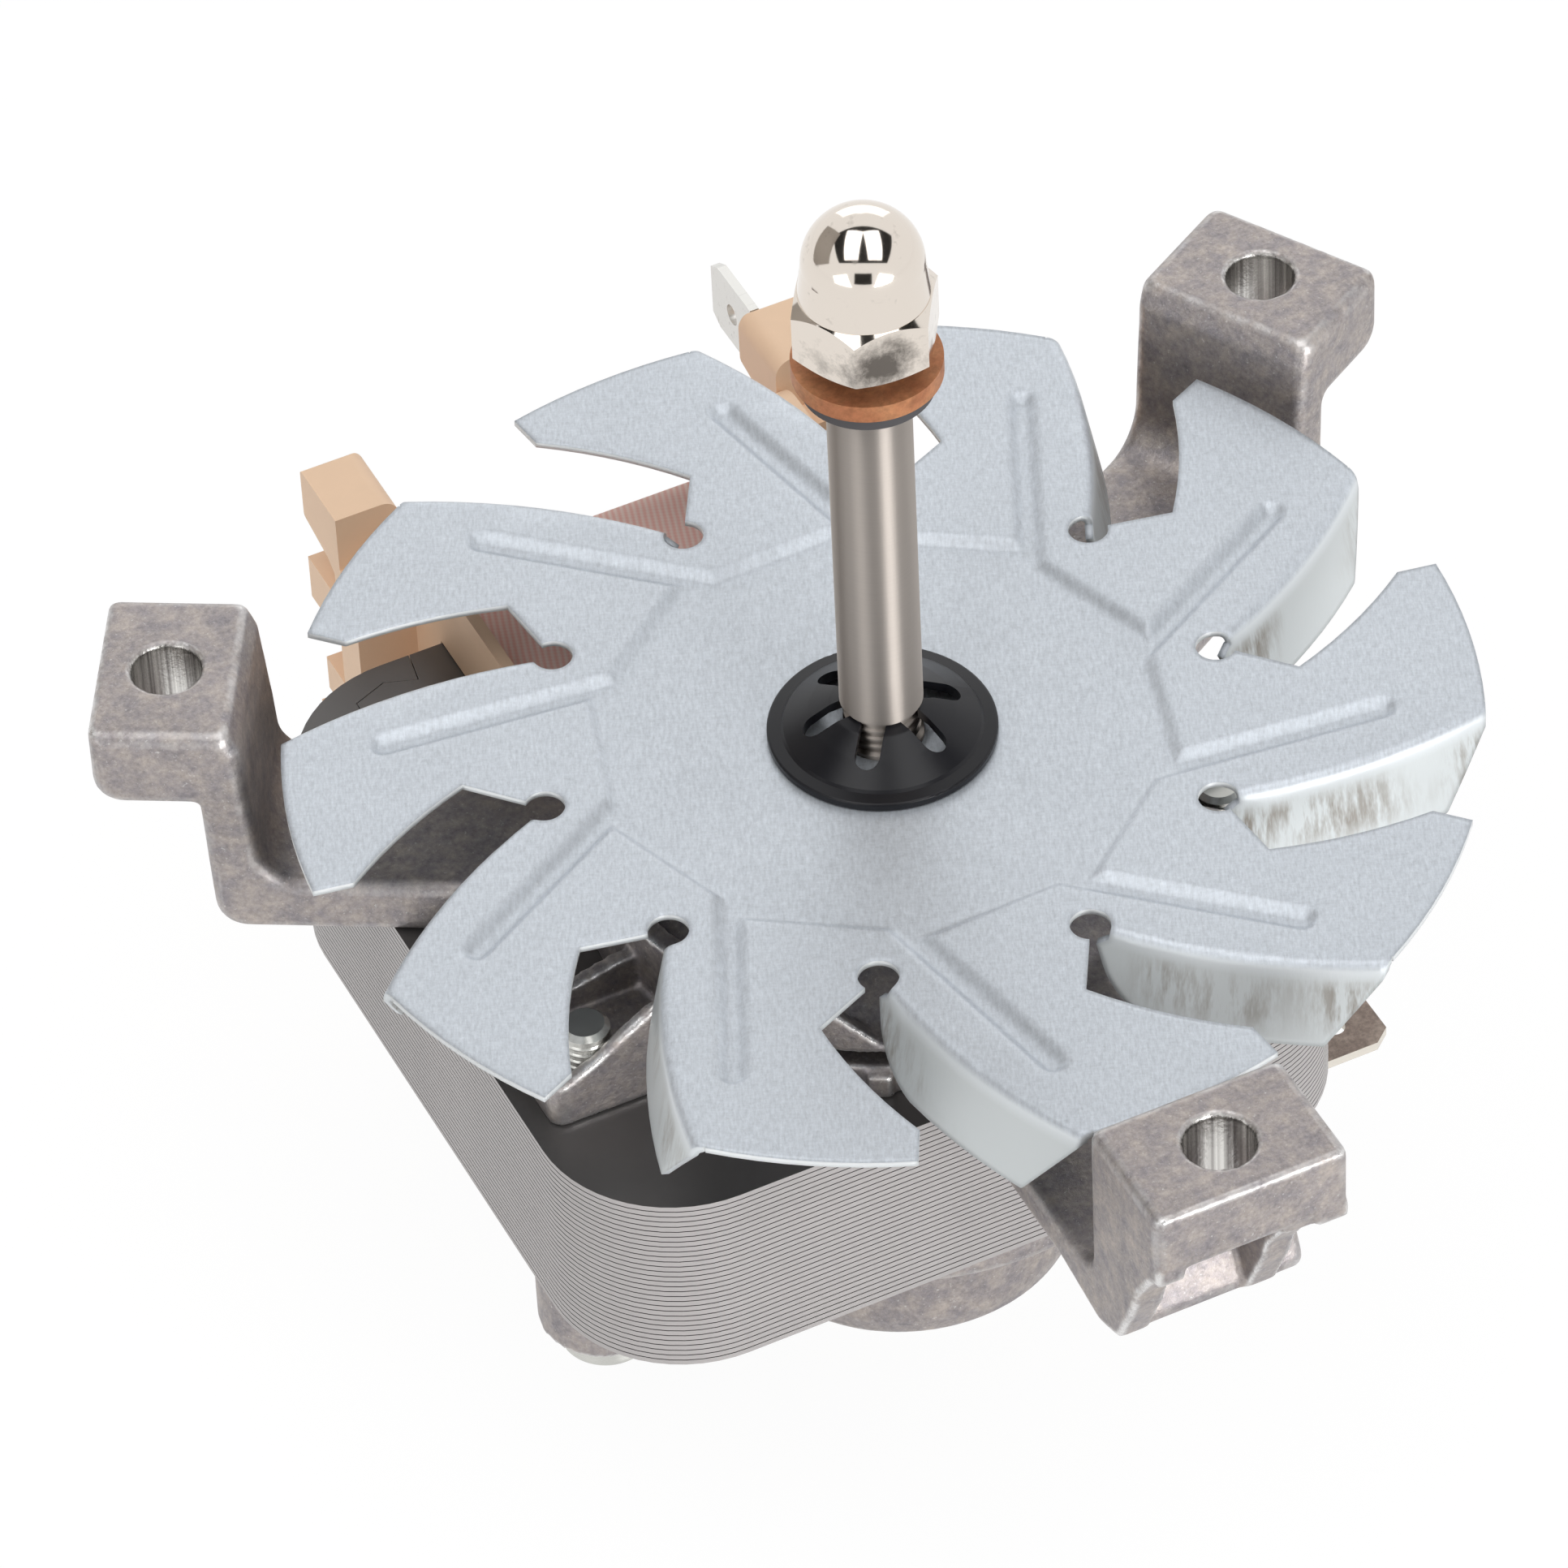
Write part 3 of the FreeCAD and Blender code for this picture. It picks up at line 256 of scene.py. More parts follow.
def patches_group():
    """Soft blotches between two colours, as cast or tarnished metal has."""
    def build(graph, given):
        wide = graph.noise(given["Vector"], given["Scale"], 6.0, 0.62)
        sharp_scale = graph.math("MULTIPLY", given["Scale"], 5.0)
        small = graph.noise(given["Vector"], sharp_scale, 5.0, 0.7)
        first = graph.mix(graph.ramp(wide, 0.38, 0.64), given["Colour A"], given["Colour B"])
        dark = graph.ramp(small, 0.62, 0.36)
        shade = graph.math("SUBTRACT", 1.0, graph.math("MULTIPLY", dark, given["Depth"]))
        shaded = graph.add("ShaderNodeVectorMath", {0: first}, operation="SCALE")
        graph.feed(shaded.inputs["Scale"], shade)
        return [shaded.outputs[0], small]
    return node_group("Metal patches",
                      [("Vector", VECTOR, None), ("Scale", FLOAT, 180.0),
                       ("Colour A", COLOUR, None), ("Colour B", COLOUR, None),
                       ("Depth", FLOAT, 0.3)],
                      [("Colour", COLOUR), ("Height", FLOAT)], build)


def scratches_group():
    """Thin straight marks along one direction."""
    def build(graph, given):
        lines = graph.noise(given["Vector"], given["Scale"], 2.0, 0.8)
        return [graph.ramp(lines, 0.60, 0.72), lines]
    return node_group("Fine marks",
                      [("Vector", VECTOR, None), ("Scale", FLOAT, 1.0)],
                      [("Mask", FLOAT), ("Height", FLOAT)], build)


class Finish:
    """One material with its Principled BSDF, object coordinates and shared effects."""

    def __init__(self, name, **settings):
        self.material = bpy.data.materials.new("finish_" + name)
        self.material["finish"] = name
        self.material.use_nodes = True
        tree = self.material.node_tree
        self.graph = Graph(tree)
        self.bsdf = tree.nodes["Principled BSDF"]
        coord = self.graph.add("ShaderNodeTexCoord")
        self.vector = coord.outputs["Object"]
        self.set(**settings)

    def set(self, **settings):
        names = {"colour": "Base Color", "rough": "Roughness", "metal": "Metallic",
                 "normal": "Normal", "specular": "Specular IOR Level",
                 "anisotropy": "Anisotropic", "anisotropy_turn": "Anisotropic Rotation"}
        for key, value in settings.items():
            self.graph.feed(self.bsdf.inputs[names[key]], value)

    def group(self, tree, **inputs):
        node = self.graph.add("ShaderNodeGroup", node_tree=tree)
        for key, value in inputs.items():
            self.graph.feed(node.inputs[key.replace("_", " ")], value)
        return node.outputs

    def grain(self, scale, amount, vector=None):
        """Tone and height of the shared fine speckle."""
        return self.group(grain_group(), Vector=vector or self.vector, Scale=scale,
                          Amount=amount)

    def tinted(self, base, tone):
        """The base colour made lighter or darker by the tone."""
        node = self.graph.add("ShaderNodeVectorMath", {0: base}, operation="SCALE")
        self.graph.feed(node.inputs["Scale"], tone)
        return node.outputs[0]

    def facing_up(self):
        """The upward part of the surface normal, 0 on upright walls and 1 on flat tops."""
        geometry = self.graph.add("ShaderNodeNewGeometry")
        split = self.graph.add("ShaderNodeSeparateXYZ", {0: geometry.outputs["Normal"]})
        return split.outputs["Z"]


def galvanised_finish(colours):
    finish = Finish("galvanised_sheet", metal=0.42, rough=0.37, specular=0.5)
    g = finish.graph
    vector = finish.vector
    rolled = g.stretch(vector, (1.0, 1.0, 1.0), (0.0, 0.0, 0.42))
    threads = [g.noise(g.stretch(rolled, scale), 1.0, 3.0, 0.7)
               for scale in ((4400.0, 1100.0, 1100.0), (1500.0, 4400.0, 1500.0))]
    weave = g.add("ShaderNodeMix", {0: 0.35, 2: threads[0], 3: threads[1]}).outputs[0]
    cloud = g.noise(vector, 120.0, 4.0, 0.6)
    tone = g.math("ADD", g.math("MULTIPLY", g.math("SUBTRACT", weave, 0.5), 0.95), 1.0)
    flat = finish.tinted(tuple(colours.zinc_sheet), tone)
    flat = finish.tinted(flat, g.math("ADD", g.math("MULTIPLY", cloud, 0.10), 0.95))
    fleck = g.ramp(g.noise(vector, 2600.0, 2.0, 0.6), 0.66, 0.76)
    flat = g.mix(g.math("MULTIPLY", fleck, 0.35), flat, srgb(226, 230, 234))
    streak = g.noise(g.stretch(vector, (900.0, 900.0, 30.0)), 1.0, 4.0, 0.7)
    where = g.ramp(g.noise(g.stretch(vector, (60.0, 60.0, 20.0)), 1.0, 2.0, 0.5), 0.43, 0.55)
    marks = g.math("MULTIPLY", g.ramp(streak, 0.42, 0.62), where)
    height = g.add("ShaderNodeSeparateXYZ", {0: vector}).outputs["Z"]
    middle = g.math("MULTIPLY", g.ramp(height, -5.6 * MM, -7.0 * MM),
                    g.ramp(height, -11.4 * MM, -9.4 * MM))
    marks = g.math("MULTIPLY", marks, middle)
    pale = g.mix(g.math("MULTIPLY", marks, 0.85), srgb(208, 213, 214), tuple(colours.zinc_streak))
    upright = g.ramp(g.math("ABSOLUTE", finish.facing_up()), 0.75, 0.35)
    # Painted highlight: the top band of the upright walls, at the bend, is painted lighter than
    # the streaked walls below it.
    below_painted_bend_highlight = g.ramp(height, -5.3 * MM, -6.2 * MM)
    walls_with_painted_bend_highlight = g.mix(below_painted_bend_highlight, srgb(220, 225, 228), pale)
    # Cut edges painted near-white: the bare cut metal together with a painted highlight along
    # each edge.
    bare_cut_and_painted_highlight = g.add("ShaderNodeAttribute", attribute_name="wear").outputs["Fac"]
    dressed = g.mix(g.math("MULTIPLY", bare_cut_and_painted_highlight, 0.75), g.mix(upright, flat, walls_with_painted_bend_highlight),
                    srgb(236, 239, 240))
    rounded = g.add("ShaderNodeBevel", {"Radius": 0.8 * MM}, samples=6).outputs["Normal"]
    finish.set(colour=dressed, normal=g.bump(weave, 0.00003, 0.6, rounded))
    return finish.material


def cast_finish(colours):
    finish = Finish("cast_aluminium", specular=0.5)
    g = finish.graph
    vector = finish.vector
    broad = g.noise(vector, 190.0, 3.0, 0.55)
    blotch = g.noise(vector, 620.0, 4.0, 0.65)
    grit = g.noise(vector, 2300.0, 4.0, 0.75)
    base = g.mix(g.ramp(blotch, 0.32, 0.68), tuple(colours.cast_grey), tuple(colours.cast_pink))
    tone = g.math("ADD", 1.0, g.math("MULTIPLY", g.math("SUBTRACT", blotch, 0.5), 0.45))
    tone = g.math("ADD", tone, g.math("MULTIPLY", g.math("SUBTRACT", grit, 0.5), 1.10))
    tone = g.math("ADD", tone, g.math("MULTIPLY", g.math("SUBTRACT", broad, 0.5), 0.30))
    base = finish.tinted(base, tone)
    glint = g.ramp(g.noise(vector, 3400.0, 3.0, 0.7), 0.62, 0.72)
    base = g.mix(g.math("MULTIPLY", glint, 0.50), base, tuple(colours.cast_bright))
    wear = g.add("ShaderNodeAttribute", attribute_name="wear").outputs["Fac"]
    broken = g.ramp(g.noise(vector, 420.0, 4.0, 0.75), 0.36, 0.56)
    worn = g.math("MULTIPLY", g.ramp(wear, 0.15, 0.8), broken)
    bore = g.add("ShaderNodeAttribute", attribute_name="bore").outputs["Fac"]
    bands = g.noise(g.stretch(vector, (1500.0, 1500.0, 12.0)), 1.0, 3.0, 0.6)
    drilled = g.mix(g.ramp(bands, 0.36, 0.62), srgb(128, 124, 122), srgb(232, 230, 226))
    shown = g.mix(g.math("MULTIPLY", worn, 0.9), base, tuple(colours.cast_bright))
    bare = g.math("MAXIMUM", worn, bore)
    relief = g.math("ADD", g.math("MULTIPLY", blotch, 0.7), grit)
    finish.set(colour=g.mix(bore, shown, drilled),
               metal=g.math("ADD", 0.72, g.math("MULTIPLY", bare, 0.25)),
               rough=g.math("SUBTRACT", 0.43, g.math("MULTIPLY", bare, 0.18)),
               normal=g.bump(relief, 0.00009, 0.6))
    return finish.material


def lamination_finish(colours):
    finish = Finish("lamination_sheet", metal=0.45, rough=0.42)
    g = finish.graph
    up = g.ramp(g.math("ABSOLUTE", finish.facing_up()), 0.4, 0.7)
    side = finish.grain(700.0, 0.3, g.stretch(finish.vector, (1.0, 1.0, 14.0)))
    broad = g.noise(g.stretch(finish.vector, (90.0, 90.0, 30.0)), 1.0, 3.0, 0.5)
    edge = finish.tinted(tuple(colours.sheet_edge), side["Tone"])
    edge = finish.tinted(edge, g.math("ADD", g.math("MULTIPLY", broad, 0.24), 0.88))
    face = finish.tinted(tuple(colours.sheet_face), finish.grain(260.0, 0.24)["Tone"])
    finish.set(colour=g.mix(up, edge, face), rough=g.math("SUBTRACT", 0.44, g.math(
        "MULTIPLY", up, 0.08)), normal=g.bump(side["Height"], 0.00002, 0.3))
    return finish.material


def gap_finish():
    return plain_finish("lamination_gap", srgb(70, 64, 62), 0.8, 0.0, 1400.0, 0.35)


def bobbin_finish(colours):
    finish = Finish("bobbin_plastic", rough=0.48, specular=0.4)
    tone = finish.grain(420.0, 0.10)
    finish.set(colour=finish.tinted(tuple(colours.bobbin), tone["Tone"]),
               normal=finish.graph.bump(tone["Height"], 0.00002, 0.3))
    return finish.material


def tape_finish(colours):
    finish = Finish("woven_tape", rough=0.7, specular=0.25)
    g = finish.graph
    waves = []
    for turn, scale in ((0.30, 640.0), (-1.2, 900.0)):
        mapped = g.stretch(finish.vector, (1.0, 1.0, 1.0), (0.3, 0.0, turn))
        wave = g.add("ShaderNodeTexWave", {
            "Vector": mapped, "Scale": scale, "Distortion": 0.5, "Detail": 1.0})
        waves.append(wave.outputs["Fac"])
    weave = g.add("ShaderNodeMix", {0: 0.2, 2: waves[0], 3: waves[1]}).outputs[0]
    finish.set(colour=g.mix(weave, srgb(244, 190, 178), tuple(colours.tape)),
               normal=g.bump(weave, 0.00004, 0.5))
    return finish.material


def turned_finish(name, base, rough, ring_scale=5200.0):
    """Turned or drawn metal, with fine rings about the shaft axis."""
    finish = Finish(name, metal=1.0, rough=rough, anisotropy=0.95, anisotropy_turn=0.25)
    g = finish.graph
    rings = g.noise(g.stretch(finish.vector, (40.0, 40.0, ring_scale)), 1.0, 3.0, 0.6)
    tone = g.math("ADD", g.math("MULTIPLY", rings, 0.16), 0.92)
    finish.set(colour=finish.tinted(base, tone), normal=g.bump(rings, 0.00001, 0.35),
               rough=g.math("ADD", g.math("MULTIPLY", rings, 0.12), rough - 0.06))
    return finish.material


def nickel_finish(colours):
    finish = Finish("nickel_plate", metal=1.0)
    g = finish.graph
    height = g.add("ShaderNodeSeparateXYZ", {0: finish.vector}).outputs["Z"]
    flats = g.ramp(height, HEX_TOP + 0.1 * MM, HEX_TOP - 0.9 * MM)
    # Painted reflection: a dark patch painted at one fixed spot on the front hex flat, its edge
    # broken up by noise.
    away = g.add("ShaderNodeVectorMath", {0: finish.vector, 1: (
        -1.25 * MM, -5.15 * MM, HEX_TOP - 3.0 * MM)}, operation="DISTANCE").outputs["Value"]
    cloudy = g.noise(finish.vector, 700.0, 5.0, 0.7)
    painted_reflection_spread = g.math("ADD", away, g.math("MULTIPLY", g.math("SUBTRACT", cloudy, 0.5), 5.0 * MM))
    blotch = g.ramp(painted_reflection_spread, 3.1 * MM, 0.9 * MM)
    stain = g.math("MULTIPLY", g.ramp(g.noise(finish.vector, 330.0, 5.0, 0.7), 0.54, 0.72),
                   flats)
    speck = g.ramp(g.noise(finish.vector, 900.0, 3.0, 0.6), 0.62, 0.75)
    # Random tarnish stains and specks, joined with the painted dark reflection on the flat.
    tarnish_and_painted_reflection = g.math("MAXIMUM", g.math("MULTIPLY", stain, 0.35), g.math("MULTIPLY", speck, 0.25))
    tarnish_and_painted_reflection = g.math("MAXIMUM", tarnish_and_painted_reflection, g.math("MULTIPLY", g.math("MULTIPLY", blotch, flats), 0.95))
    finish.set(colour=g.mix(tarnish_and_painted_reflection, tuple(colours.nickel), srgb(104, 98, 92)),
               rough=g.math("ADD", g.math("MULTIPLY", tarnish_and_painted_reflection, 0.25), 0.09))
    return finish.material


def copper_finish(colours):
    finish = Finish("dull_copper", metal=0.5, rough=0.5)
    g = finish.graph
    patches = finish.group(patches_group(), Vector=finish.vector, Scale=300.0,
                           Colour_A=tuple(colours.copper), Colour_B=srgb(184, 120, 82),
                           Depth=0.28)
    finish.set(colour=patches["Colour"], normal=g.bump(patches["Height"], 0.00003, 0.4))
    return finish.material


def black_finish(colours):
    finish = Finish("blackened_steel", metal=0.0, rough=0.30, specular=0.32)
    tone = finish.grain(1300.0, 0.5)
    finish.set(colour=finish.tinted(tuple(colours.black), tone["Tone"]),
               normal=finish.graph.bump(tone["Height"], 0.00002, 0.35))
    return finish.material


def tin_finish(colours):
    finish = Finish("tinned_tab", metal=0.7, rough=0.34)
    g = finish.graph
    marks = finish.group(scratches_group(),
                         Vector=g.stretch(finish.vector, (300.0, 2200.0, 900.0)), Scale=1.0)
    finish.set(colour=g.mix(g.math("MULTIPLY", marks["Mask"], 0.4), tuple(colours.tin),
                            srgb(150, 146, 140)),
               normal=g.bump(marks["Height"], 0.00001, 0.4))
    return finish.material


def aged_finish():
    """A tab with a brownish face and pale bare edges."""
    finish = Finish("aged_brass", metal=0.6, rough=0.4)
    g = finish.graph
    face = g.ramp(g.math("ABSOLUTE", finish.facing_up()), 0.4, 0.8)
    patches = finish.group(patches_group(), Vector=finish.vector, Scale=420.0,
                           Colour_A=srgb(150, 134, 124), Colour_B=srgb(176, 160, 148),
                           Depth=0.35)
    finish.set(colour=g.mix(face, srgb(222, 216, 206), patches["Colour"]))
    return finish.material


def plain_finish(name, base, rough, metal=0.0, scale=700.0, amount=0.25):
    finish = Finish(name, rough=rough, metal=metal)
    tone = finish.grain(scale, amount)
    finish.set(colour=finish.tinted(base, tone["Tone"]),
               normal=finish.graph.bump(tone["Height"], 0.00003, 0.4))
    return finish.material


LIBRARY = {}


def finishes():
    """Every finish by name, built once."""
    store = bpy.context.scene.motor_colours
    if not LIBRARY:
        made = [
            galvanised_finish(store), cast_finish(store), lamination_finish(store), gap_finish(),
            bobbin_finish(store), tape_finish(store), nickel_finish(store), copper_finish(store),
            black_finish(store), tin_finish(store),
            turned_finish("turned_steel", tuple(store.steel), 0.5),
            turned_finish("zinc_screw", srgb(205, 205, 200), 0.26),
            plain_finish("spring_steel", srgb(120, 120, 122), 0.35, 0.9),
            plain_finish("bearing_bronze", srgb(150, 120, 74), 0.5, 0.7),
            plain_finish("oil_felt", srgb(186, 176, 150), 0.9),
            plain_finish("cage_aluminium", srgb(170, 170, 172), 0.45, 0.7),
            aged_finish(),
            plain_finish("fibre", srgb(74, 72, 74), 0.6)]
        for material in made:
            LIBRARY[material["finish"]] = material
    return LIBRARY


NODE_FINISH = {"earth_tab": "aged_brass"}
SLOT_FINISH = {
    "laminations": "lamination_sheet", "copper": "dull_copper", "coil_tape": "woven_tape",
    "nickel_plate": "nickel_plate"}


def dress(mesh, material):
    """Give the mesh this one material."""
    mesh.materials.clear()
    mesh.materials.append(material)


# Mesh helpers

def place(name, mesh, body, material):
    """A finished piece at the origin, riding on its body."""
    thing = bpy.data.objects.new(name, mesh)
    bpy.context.scene.collection.objects.link(thing)
    dress(mesh, material)
    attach(thing, body)
    return thing


def smooth(mesh, degrees=35.0):
    """Smooth shading with sharp edges kept past the given angle."""
    for polygon in mesh.polygons:
        polygon.use_smooth = True
    work = bmesh.new()
    work.from_mesh(mesh)
    limit = math.radians(degrees)
    for edge in work.edges:
        edge.smooth = len(edge.link_faces) == 2 and edge.calc_face_angle(3.2) < limit
    work.to_mesh(mesh)
    work.free()


def merged(node):
    """A closed copy of a node's triangles, ready for editing."""
    work = bmesh.new()
    work.from_mesh(frame["nodes"][node].data)
    bmesh.ops.remove_doubles(work, verts=work.verts, dist=2e-6)
    return work


def finished_by(holder, kind, **settings):
    """The holder's mesh after one modifier, as a plain mesh."""
    modifier = holder.modifiers.new(kind, kind)
    for key, value in settings.items():
        setattr(modifier, key, value)
    graph = bpy.context.evaluated_depsgraph_get()
    result = bpy.data.meshes.new_from_object(holder.evaluated_get(graph))
    holder.modifiers.remove(modifier)
    holder.data = result
    return result


def edge_wear(mesh, reach):
    """How far each vertex stands out from its neighbours, 0 on flats and 1 on sharp edges."""
    work = bmesh.new()
    work.from_mesh(mesh)
    work.normal_update()
    worn = []
    for vertex in work.verts:
        around_it = Vector((0.0, 0.0, 0.0))
        for edge in vertex.link_edges:
            around_it += edge.other_vert(vertex).co - vertex.co
        lift = -around_it.dot(vertex.normal) / max(len(vertex.link_edges), 1)
        worn.append(min(max(lift / reach, 0.0), 1.0))
    work.free()
    return worn


def cast_copy(node, name, grid, material, holes=()):
    """A copy of a cast node with rounded edges, marked with wear and with its drilled holes."""
    work = merged(node)
    mesh = bpy.data.meshes.new(name)
    work.to_mesh(mesh)
    work.free()
    holder = bpy.data.objects.new(name, mesh)
    bpy.context.scene.collection.objects.link(holder)
    finished_by(holder, "REMESH", mode="VOXEL", voxel_size=grid)
    dense = finished_by(holder, "SMOOTH", factor=0.5, iterations=3)
    tree = KDTree(len(dense.vertices))
    for vertex in dense.vertices:
        tree.insert(vertex.co, vertex.index)
    tree.balance()
    worn = edge_wear(dense, grid * 0.16)
    share = min(1.0, CASTING_TRIANGLES / (2.0 * len(dense.polygons)))
    mesh = finished_by(holder, "DECIMATE", ratio=share, use_collapse_triangulate=True)
    bpy.data.objects.remove(holder)
    wear = mesh.attributes.new("wear", "FLOAT", "POINT")
    bore = mesh.attributes.new("bore", "FLOAT", "POINT")
    for vertex in mesh.vertices:
        wear.data[vertex.index].value = worn[tree.find(vertex.co)[1]]
        for x, y, radius, low in holes:
            away = math.hypot(vertex.co.x - x, vertex.co.y - y)
            if away < radius + 0.12 * MM and vertex.co.z > low:
                bore.data[vertex.index].value = 1.0
    mesh.materials.clear()
    mesh.name = name
    for polygon in mesh.polygons:
        polygon.use_smooth = True
    thing = place(name, mesh, body_of(node), material)
    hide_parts(node)
    return thing


def cut_sheet_copy(node, name, sheet, material):
    """A copy of the pressed sheet with its cut edges marked, for the near-white bare metal and
    painted highlight that its finish gives them.
    """
    work = merged(node)
    top = max(vertex.co.z for vertex in work.verts)
    low = min(vertex.co.z for vertex in work.verts)
    bare_cut_and_painted_highlight = []
    for face in work.faces:
        heights = [vertex.co.z for vertex in face.verts]
        edge = abs(face.normal.z) < 0.3 and min(heights) > top - sheet - 0.02 * MM
        hem = face.normal.z < -0.8 and max(heights) < low + 0.4 * MM
        bare_cut_and_painted_highlight.append(1.0 if edge or hem else 0.0)
    mesh = bpy.data.meshes.new(name)
    work.to_mesh(mesh)
    work.free()
    layer = mesh.attributes.new("wear", "FLOAT", "FACE")
    layer.data.foreach_set("value", bare_cut_and_painted_highlight)
    smooth(mesh, 22.0)
    thing = place(name, mesh, body_of(node), material)
    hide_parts(node)
    return thing


def body_of(node):
    """The body that a CAD node rides on."""
    for body, nodes in frame["record"]["behaviour"]["bodies"].items():
        if node in nodes:
            return body
    raise RuntimeError("no body holds " + node)


def outline_mesh(name, loops, low, high):
    """A flat plate from closed outlines; the first is the rim, the others are holes."""
    curve = bpy.data.curves.new(name, "CURVE")
    curve.dimensions = "2D"
    curve.fill_mode = "BOTH"
    curve.extrude = (high - low) / 2
    for loop in loops:
        spline = curve.splines.new("POLY")
        spline.points.add(len(loop) - 1)
        for point, (x, y) in zip(spline.points, loop):
            point.co = (x, y, 0.0, 1.0)
        spline.use_cyclic_u = True
    holder = bpy.data.objects.new(name, curve)
    bpy.context.scene.collection.objects.link(holder)
    mesh = bpy.data.meshes.new_from_object(holder.evaluated_get(
        bpy.context.evaluated_depsgraph_get()))
    bpy.data.objects.remove(holder)
    mesh.transform(Matrix.Translation((0.0, 0.0, (low + high) / 2)))
    work = bmesh.new()
    work.from_mesh(mesh)
    bmesh.ops.remove_doubles(work, verts=work.verts, dist=1e-7)
    bmesh.ops.recalc_face_normals(work, faces=work.faces)
    work.to_mesh(mesh)
    work.free()
    mesh.materials.clear()
    return mesh


def arc(x, y, radius, start, stop, steps):
    """Points along an arc, from one angle to another in degrees."""
    points = []
    for i in range(steps + 1):
        a = math.radians(start + (stop - start) * i / steps)
        points.append((x + radius * math.cos(a), y + radius * math.sin(a)))
    return points


def grown(loop, distance):
    """The loop with its points moved along their normals, outwards for a positive distance."""
    area = sum(a[0] * b[1] - b[0] * a[1] for a, b in zip(loop, loop[1:] + loop[:1]))
    sign = 1.0 if area > 0 else -1.0
    moved = []
    count = len(loop)
    for i, here in enumerate(loop):
        before = Vector(here) - Vector(loop[i - 1])
        after = Vector(loop[(i + 1) % count]) - Vector(here)
        if before.length < 1e-9 or after.length < 1e-9:
            moved.append(here)
            continue
        n1 = Vector((before.y, -before.x)).normalized() * sign
        n2 = Vector((after.y, -after.x)).normalized() * sign
        middle = n1 + n2
        middle = middle.normalized() if middle.length > 1e-6 else n1
        reach = distance / max(middle.dot(n1), 0.5)
        moved.append((here[0] + middle.x * reach, here[1] + middle.y * reach))
    return moved


# Geometry node trees

def repeat_tree(name):
    """Copies of a mesh in an even row, with a material, made real."""
    if name in bpy.data.node_groups:
        return bpy.data.node_groups[name]
    tree = bpy.data.node_groups.new(name, "GeometryNodeTree")
    face = tree.interface
    face.new_socket("Geometry", in_out="INPUT", socket_type="NodeSocketGeometry")
    face.new_socket("Count", in_out="INPUT", socket_type="NodeSocketInt")
    face.new_socket("Step", in_out="INPUT", socket_type="NodeSocketVector")
    face.new_socket("Finish", in_out="INPUT", socket_type="NodeSocketMaterial")
    face.new_socket("Geometry", in_out="OUTPUT", socket_type="NodeSocketGeometry")
    graph = Graph(tree)
    given = graph.add("NodeGroupInput").outputs
    line = graph.add("GeometryNodeMeshLine", {
        "Count": given["Count"], "Offset": given["Step"]}, mode="OFFSET")
    copies = graph.add("GeometryNodeInstanceOnPoints", {
        "Points": line.outputs["Mesh"], "Instance": given["Geometry"]})
    real = graph.add("GeometryNodeRealizeInstances", {"Geometry": copies.outputs["Instances"]})
    coat = graph.add("GeometryNodeSetMaterial", {
        "Geometry": real.outputs["Geometry"], "Material": given["Finish"]})
    graph.add("NodeGroupOutput", {"Geometry": coat.outputs["Geometry"]})
    return tree


def repeated(name, mesh, count, pitch, material):
    """The mesh repeated by the row tree, as one plain mesh."""
    holder = bpy.data.objects.new(name, mesh)
    bpy.context.scene.collection.objects.link(holder)
    tree = repeat_tree("Even row")
    modifier = holder.modifiers.new("Row", "NODES")
    modifier.node_group = tree
    given = {"Count": count, "Step": (0.0, 0.0, pitch), "Finish": material}
    for item in tree.interface.items_tree:
        if item.in_out == "INPUT" and item.name in given:
            modifier[item.identifier] = given[item.name]
    holder.data.update()
    graph = bpy.context.evaluated_depsgraph_get()
    result = bpy.data.meshes.new_from_object(holder.evaluated_get(graph))
    holder.modifiers.remove(modifier)
    bpy.data.objects.remove(holder)
    result.name = name
    return result


def joined(name, meshes):
    """The meshes as one."""
    work = bmesh.new()
    for mesh in meshes:
        work.from_mesh(mesh)
    result = bpy.data.meshes.new(name)
    work.to_mesh(result)
    work.free()
    return result


def turned_mesh(name, profile, steps=48, x=0.0, y=0.0):
    """A closed profile of (radius, height) turned about an upright axis."""
    work = bmesh.new()
    rings = []
    for i in range(steps):
        a = 2.0 * math.pi * i / steps
        rings.append([work.verts.new((x + r * math.cos(a), y + r * math.sin(a), z))
                      for r, z in profile])
    count = len(profile)
    for i in range(steps):
        here, there = rings[i], rings[(i + 1) % steps]
        for k in range(count):
            n = (k + 1) % count
            work.faces.new((here[k], there[k], there[n], here[n]))
    bmesh.ops.remove_doubles(work, verts=work.verts, dist=1e-7)
    bmesh.ops.recalc_face_normals(work, faces=work.faces)
    mesh = bpy.data.meshes.new(name)
    work.to_mesh(mesh)
    work.free()
    return mesh


def ridge_mesh(root, tip, low, pitch, steps, crest, top, inside, x=0.0, y=0.0):
    """One thread ridge; crest and top are shares of the pitch, inside a share of the root."""
    return turned_mesh("ridge", [
        (root, low), (tip, low + pitch * crest), (tip, low + pitch * (1.0 - crest)),
        (root, low + pitch * top), (root * inside, low + pitch * top),
        (root * inside, low)], steps, x, y)


# Outlines of the laminations

def mm_points(points):
    """Points in metres from points in millimetres."""
    return [(x * MM, y * MM) for x, y in points]


def joint_outline(gap):
    """The coil core's left end, from the back edge to the front, with the joint gap."""
    return [(-22.3 - gap, 39.4), (-22.8 - gap, 36.5 + gap), (-25.4 - gap, 37.45 + gap),
            (-28.2 - gap, 36.3 + gap), (-28.2 - gap, 29.7 - gap), (-25.4 - gap, 28.5 - gap),
            (-22.8 - gap, 29.5 - gap), (-22.3 - gap, 26.4 - gap)]


